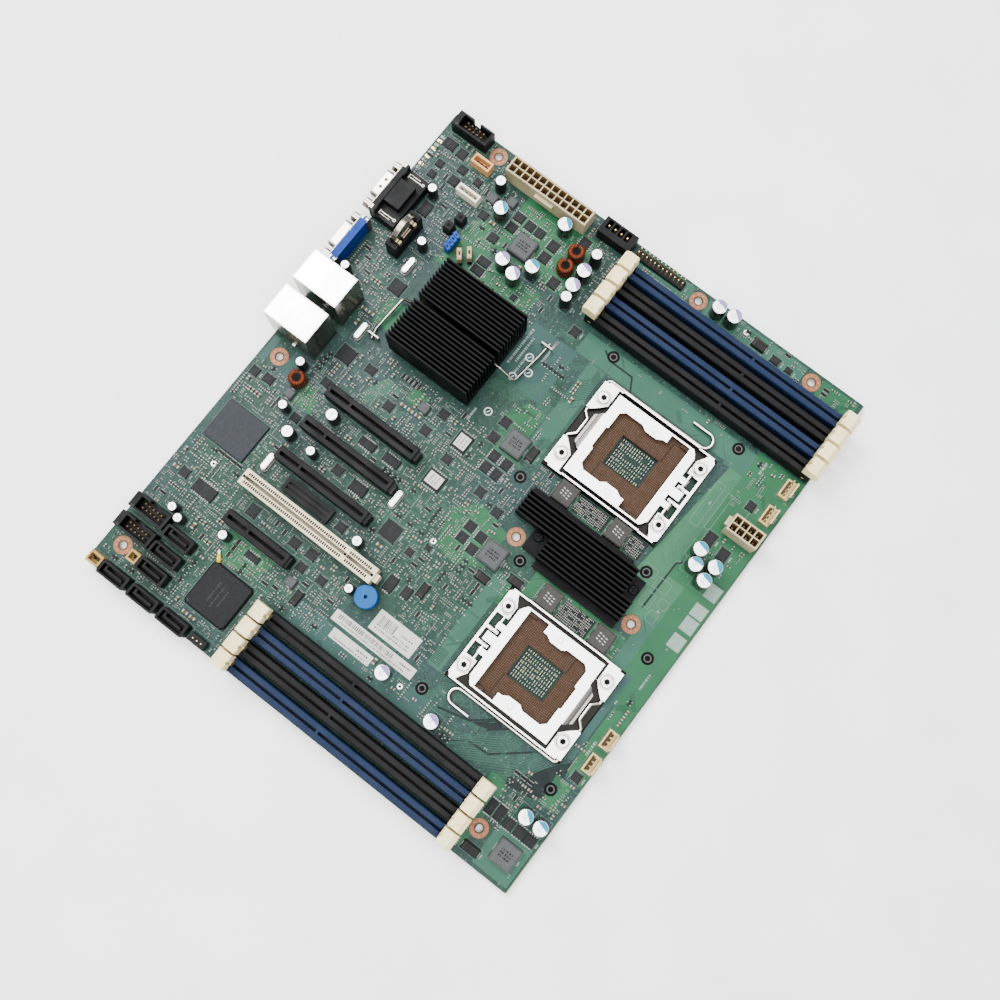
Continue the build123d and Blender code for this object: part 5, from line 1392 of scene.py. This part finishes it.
def make_header_pins():
    """Pins and jumper caps of the loose headers, which stand for the solid blocks of the frame."""
    parts = Piece()
    pin_strip(parts, 299.5, 139.4, 2, 12, 8.3, "black_plastic")
    pin_strip(parts, 243.8, 43.8, 4, 1, 6.0, "blue_cap")
    for index in range(4):
        jumper_cap(parts, 240.0 + index * 2.6, 43.8, 2.3, 4.4, 6.6, "blue_cap", 22)
    for x, y in ((249.5, 37.6), (256.6, 39.7)):
        pin_strip(parts, x, y, 2, 2, 6.0, "black_plastic")
        jumper_cap(parts, x, y, 4.9, 4.9, 7.4, "black_plastic")
    for x, y in ((240.3, 51.6), (244.0, 55.4)):
        pin_strip(parts, x, y, 3, 1, 7.6, "resistor", -38)
        jumper_cap(parts, x, y, 6.6, 2.5, 8.0, "tan_cap", -38)
    pin_strip(parts, 3.2, 72.2, 1, 3, 7.0, "resistor")
    parts.box(3.2, 72.2, 4.6, 10.2, 2.4, 6.4, "resistor", 0, 0.06)
    piece = parts.make("headers_and_jumpers", "black_plastic")
    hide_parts("pin_headers")


def make_connector_details():
    """Contacts of the drive connectors, wafer pins and the marks on the box headers."""
    parts = Piece()
    for x, y in DRIVE_CONNECTORS:
        for step in range(7):
            # The drive connector contacts are darkened as painted shade.
            parts.box(x + 0.36, y - 3.9 + step * 1.27, 0.14, 0.75, 2.6, 6.8, "slit_contact")
    for x, y, pins in ((270.2, 34.4, 4), (288.2, 29.8, 3), (15.9, 20.0, 1), (3.5, 5.4, 2)):
        parts.box(x, y, 1.7, pins * 2.7 + 0.3, 2.0, 2.1, "slot_shadow")
        for index in range(pins):
            parts.box(x, y + (index - (pins - 1) / 2) * 2.7, 0.64, 0.64, 2.0, 5.6, "contact", 0, 0.2)
    for x, y in ((27.1, 12.2), (38.9, 12.2), (299.7, 14.9)):
        parts.box(x, y + 1.0, 5.9, 14.0, 2.0, 2.15, "resistor")
        parts.box(x - 3.2, y - 8.6, 1.2, 2.0, 9.0, 9.03, "mark")
    for x, y in ((74.1, 262.4), (88.4, 262.4), (227.1, 260.0), (243.9, 260.0)):
        parts.box(x, y - 0.7, 8.4, 2.5, 3.2, 3.3, "slot_shadow")
    for step in range(9):
        parts.box(267.4 + step * 2.7, 2.3, 1.5, 2.6, 0.0, 0.05, "gold" if step % 2 else "silkscreen")
    parts.tube([(37.6, 55.6, 0.5), (39.0, 54.6, 1.1), (44.2, 50.7, 1.1), (45.4, 49.8, 0.5)], 0.35, "tin")
    parts.tube([(39.2, 54.4, 1.2), (42.6, 51.9, 1.2)], 1.05, "yellow_mark", 12)
    parts.tube([(42.6, 51.9, 1.2), (44.2, 50.7, 1.2)], 0.8, "white_top", 12)
    parts.make("connector_details", "gold_pins")


# ---------------------------------------------------------------- rear ports
NETWORK_PORTS_X = (159.9, 183.0)
VIDEO_X, SERIAL_X = 210.8, 245.9
JACK_NUT_X = 12.495
# Pairs of tabs on the D-shaped ports: middle x, y, how far to each side, width, depth and heights.
DSUB_TABS = [
    (SERIAL_X, 4.4, 12.4, 2.6, 0.8, 7.4, 8.0), (SERIAL_X, 8.8, 12.0, 0.55, 8.0, 7.4, 7.8),
    (SERIAL_X, 8.0, 13.4, 0.4, 6.4, 7.4, 7.8), (VIDEO_X, 4.35, 13.2, 2.6, 0.3, 0.0, 12.4),
    (VIDEO_X, 3.6, 13.6, 1.4, 1.8, 12.4, 12.75),
]


def network_port_details(metal, inner, x):
    """Springs, contacts, lamps, side latches and seams of a network jack over two serial bus jacks."""
    for z in (1.6, 9.0):
        metal.pair(x, -1.05, 3.6, 2.2, 0.5, z + 5.25, z + 5.55, "shell_tin")
        for step in range(4):
            inner.box(x - 3.0 + step * 2.0, 3.6, 1.0, 6.2, z + 2.74, z + 2.9, "gold")
    for step in range(8):
        inner.box(x - 3.57 + step * 1.02, 6.4, 0.4, 9.0, 25.6, 25.9, "gold")
    for side, mark in ((-1, "light_green"), (1, "light_amber")):
        inner.box(x + side * 6.8, -1.34, 1.8, 0.3, 24.4, 26.6, mark)
    for y in (4.0, 18.0):
        metal.pair(x, y, 9.25, 0.14, 4.0, 14.2, 18.2, "shell_tin")
        # Painted shade in the black latch windows and seams.
        metal.pair(x, y + 1.2, 9.28, 0.12, 0.9, 15.6, 16.8, "hollow")
    metal.box(x, 25.84, 16.0, 0.1, 3.0, 3.25, "hollow")
    metal.box(x - 3.0, 25.84, 0.16, 0.1, 3.0, 26.0, "hollow")
    metal.box(x, -1.44, 15.0, 0.1, 15.6, 16.3, "shell_tin")
    metal.pair(x, 12.2, 9.4, 1.2, 1.6, 0.0, 0.5, "tin")


def make_port_details():
    """The details of the network ports, and the tabs, jack nut ridges of painted shade and clips of the
    D-shaped ones.
    """
    metal, inner = Piece(), Piece()
    for x in NETWORK_PORTS_X:
        network_port_details(metal, inner, x)
    for x, half in ((VIDEO_X, 15.2), (SERIAL_X, 15.8)):
        metal.pair(x, 0.9, half - 1.6, 2.4, 1.4, 12.0, 12.75, "dsub_tin")
        # Painted shade: dark ridges on each jack nut stand for its shaded flats, and the black line at its
        # end is painted shade too.
        for ridge in (-1.4, 0.0, 1.4):
            metal.pair(x + ridge, -3.2, JACK_NUT_X, 0.25, 4.8, 8.6, 9.1, "boss_steel")
        metal.pair(x, -5.65, JACK_NUT_X, 2.6, 0.1, 6.2, 6.4, "hollow")
    for x, y, shift, w, d, z0, z1 in DSUB_TABS:
        metal.pair(x, y, shift, w, d, z0, z1, "dsub_tin")
    # The small black discs are painted shade in the tab holes.
    for side in (-1, 1):
        metal.disc(SERIAL_X + side * 12.2, 13.6, 0.9, 7.4, 8.0, "dsub_tin", 14)
        metal.disc(SERIAL_X + side * 12.2, 13.6, 0.45, 8.0, 8.03, "hollow", 12)
        metal.disc(SERIAL_X + side * 2.4, -3.0, 1.0, 10.4, 10.49, "boss_steel", 14)
    metal.make("port_springs", "tin_plate")
    inner.make("port_contacts", "gold_pins")


def make_battery_details():
    """The spring and side catches of the coin cell holder."""
    parts, x = Piece(), 231.0
    parts.box(x, 19.9, 5.0, 0.5, 9.0, 13.4, "brass")
    parts.box(x, 24.6, 6.0, 0.4, 6.0, 12.0, "brass")
    parts.pair(x, 24.9, 6.2, 2.4, 1.6, 9.5, 12.6, "brass", 0.2)
    parts.pair(x, 22.4, 9.3, 2.4, 5.4, 14.0, 14.3, "black_plastic", 0.1)
    parts.make("cell_springs", "stainless_steel")


# ---------------------------------------------------------------- underside
def make_buzzer_marks():
    parts, x, y = Piece(), 70.8, 124.7
    parts.ring(x, y, 1.4, 1.0, 8.15, 8.19, "white_top", 28)
    parts.ring(x, y, 5.4, 4.9, 8.1, 8.195, "buzzer_blue", 36)
    parts.make("buzzer_marks", "buzzer_blue")


def solder_joint(piece, x, y, r=0.55, rise=0.7):
    outline = [around(x, y, r, angle) for angle in circle(7)]
    piece.prism(outline, -BOARD_T, -BOARD_T - rise, "solder", 0.62, True)


# Blocks of soldered pins: middle x, y, columns, rows and pitch.
PIN_BLOCKS = [
    (295.2, 69.4, 2, 12, 4.2), (211.2, 254.9, 2, 4, 4.2), (299.5, 139.4, 2, 12, 2.54),
    (27.1, 13.2, 2, 5, 2.54), (38.9, 13.2, 2, 5, 2.54), (299.7, 15.9, 2, 5, 2.54),
    (74.1, 262.1, 4, 1, 2.54), (88.4, 262.1, 4, 1, 2.54), (227.1, 259.7, 4, 1, 2.54),
    (243.9, 259.7, 4, 1, 2.54), (270.2, 34.4, 1, 4, 2.7), (288.2, 29.8, 1, 3, 2.7),
    (243.8, 43.8, 4, 1, 2.54), (249.5, 37.6, 2, 2, 2.54), (256.6, 39.7, 2, 2, 2.54),
    (300.4, 110.4, 1, 4, 3.9), (VIDEO_X, 5.2, 5, 3, 2.2), (SERIAL_X, 11.2, 5, 2, 2.77),
] + [(x, 13.0, 8, 2, 1.6) for x in NETWORK_PORTS_X] + [(x, 22.0, 4, 2, 2.0) for x in NETWORK_PORTS_X]


def make_solder_joints():
    """The tails of the parts that go through the board."""
    joints = Piece()
    for x, rear, key in MEMORY_SLOTS:
        for step in range(60):
            for row in range(4):
                y = rear + 4.6 + step * 2.0 + (row % 2)
                if abs(y - key) > 1.6:
                    solder_joint(joints, x + (row - 1.5) * 1.5, y, 0.42, 0.6)
    for x, y0, y1 in PCIE_SLOTS:
        for step in range(int((y1 - y0 - 4) / 2)):
            for row in range(4):
                solder_joint(joints, x + (row - 1.5) * 1.9, y0 + 2.5 + step * 2.0 + (row % 2), 0.42, 0.6)
    for step in range(PCI_COUNT):
        for shift in (-1.4, 1.4, -3.0, 3.0):
            solder_joint(joints, PCI_X + shift, PCI_FIRST_Y + step * PCI_PITCH, 0.42, 0.6)
    for x, y, columns, rows, pitch in PIN_BLOCKS:
        size = (0.8, 1.0) if pitch > 4 else (0.55, 0.7)
        for pin_x, pin_y in grid(x, y, columns, rows, pitch):
            solder_joint(joints, pin_x, pin_y, *size)
    cans = [(x, y, 1.4, 0.75) for x, y, *_rest in POLYMER_CAPS + SLEEVED_CAPS]
    for x, y, shift, r in cans + [(x, y, 2.4, 0.9) for x, y in TOROIDS]:
        for side in (-1, 1):
            solder_joint(joints, x + side * shift, y, r, 0.9)
    for x, y in DRIVE_CONNECTORS:
        for step in range(7):
            solder_joint(joints, x + (step % 2) * 1.2 - 0.6, y - 3.9 + step * 1.27, 0.45, 0.7)
    joints.make("solder_joints", "tin_plate")


def make_underside():
    """Solder joints, traces and vias, and the details of the back plates."""
    make_solder_joints()
    tracks, parts, low = Piece(), Piece(), -BOARD_T
    for _index in range(700):
        x, y = RANDOM.uniform(4, BOARD_X - 4), RANDOM.uniform(4, BOARD_Y - 4)
        heading = RANDOM.choice((0, 45, 90, 135))
        length, count = RANDOM.uniform(5, 22), RANDOM.choice((1, 2, 3, 4, 6))
        for start, end in clear_lines(x, y, heading, length, count, 0.7):
            mark = RANDOM.choice(("trace", "trace_dark"))
            tracks.box(*middle_of(start, end), length, 0.25, low - 0.024, low, mark, heading)
    for _index in range(1500):
        x, y = RANDOM.uniform(3, BOARD_X - 3), RANDOM.uniform(3, BOARD_Y - 3)
        if board_clear(x, y, 1.0):
            tracks.disc(x, y, 0.32, low - 0.03, low, RANDOM.choice(("solder", "trace")), 8)
    tracks.make("underside_traces", "board_laminate")
    for x, y, _turn in CPUS.values():
        parts.box(x, y, 25.6, 27.6, low - 0.3, low, "pour_dark")
    for x, y in boss_places():
        parts.ring(x, y, 3.9, 2.9, low - 1.99, low - 1.9, "stainless", 32)
    parts.make("underside_details", "stainless_steel")


def make_floor():
    """A wide pale sheet just under the lowest part."""
    mesh = bpy.data.meshes.new("floor")
    reach, z = 4.0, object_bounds()[0][2] - 0.00005
    corners = [(x, y, z) for x, y in rectangle(-reach, reach, -reach, reach)]
    mesh.from_pydata(corners, [], [(0, 1, 2, 3)])
    mesh.materials.append(LOOKS["floor"])
    floor = bpy.data.objects.new("floor", mesh)
    bpy.context.collection.objects.link(floor)


make_camera()
make_lights()
make_looks()
make_node_looks()
dress_nodes()
make_floor()
take_node_room()
for taken in LABELS + [PAD_ROOM, JUMPER_ROOM]:
    ROOM.take(*taken)
make_pours()
make_traces()
make_hole_rings()
make_silkscreen()
make_labels()
make_small_parts()
make_vias()
make_chip_details()
make_can_tops()
make_coils()
make_socket_rim_shadows()
make_contacts()
make_slot_contacts()
make_slot_ribs()
make_power_contacts()
make_header_pins()
make_connector_details()
make_port_details()
make_battery_details()
make_buzzer_marks()
make_underside()
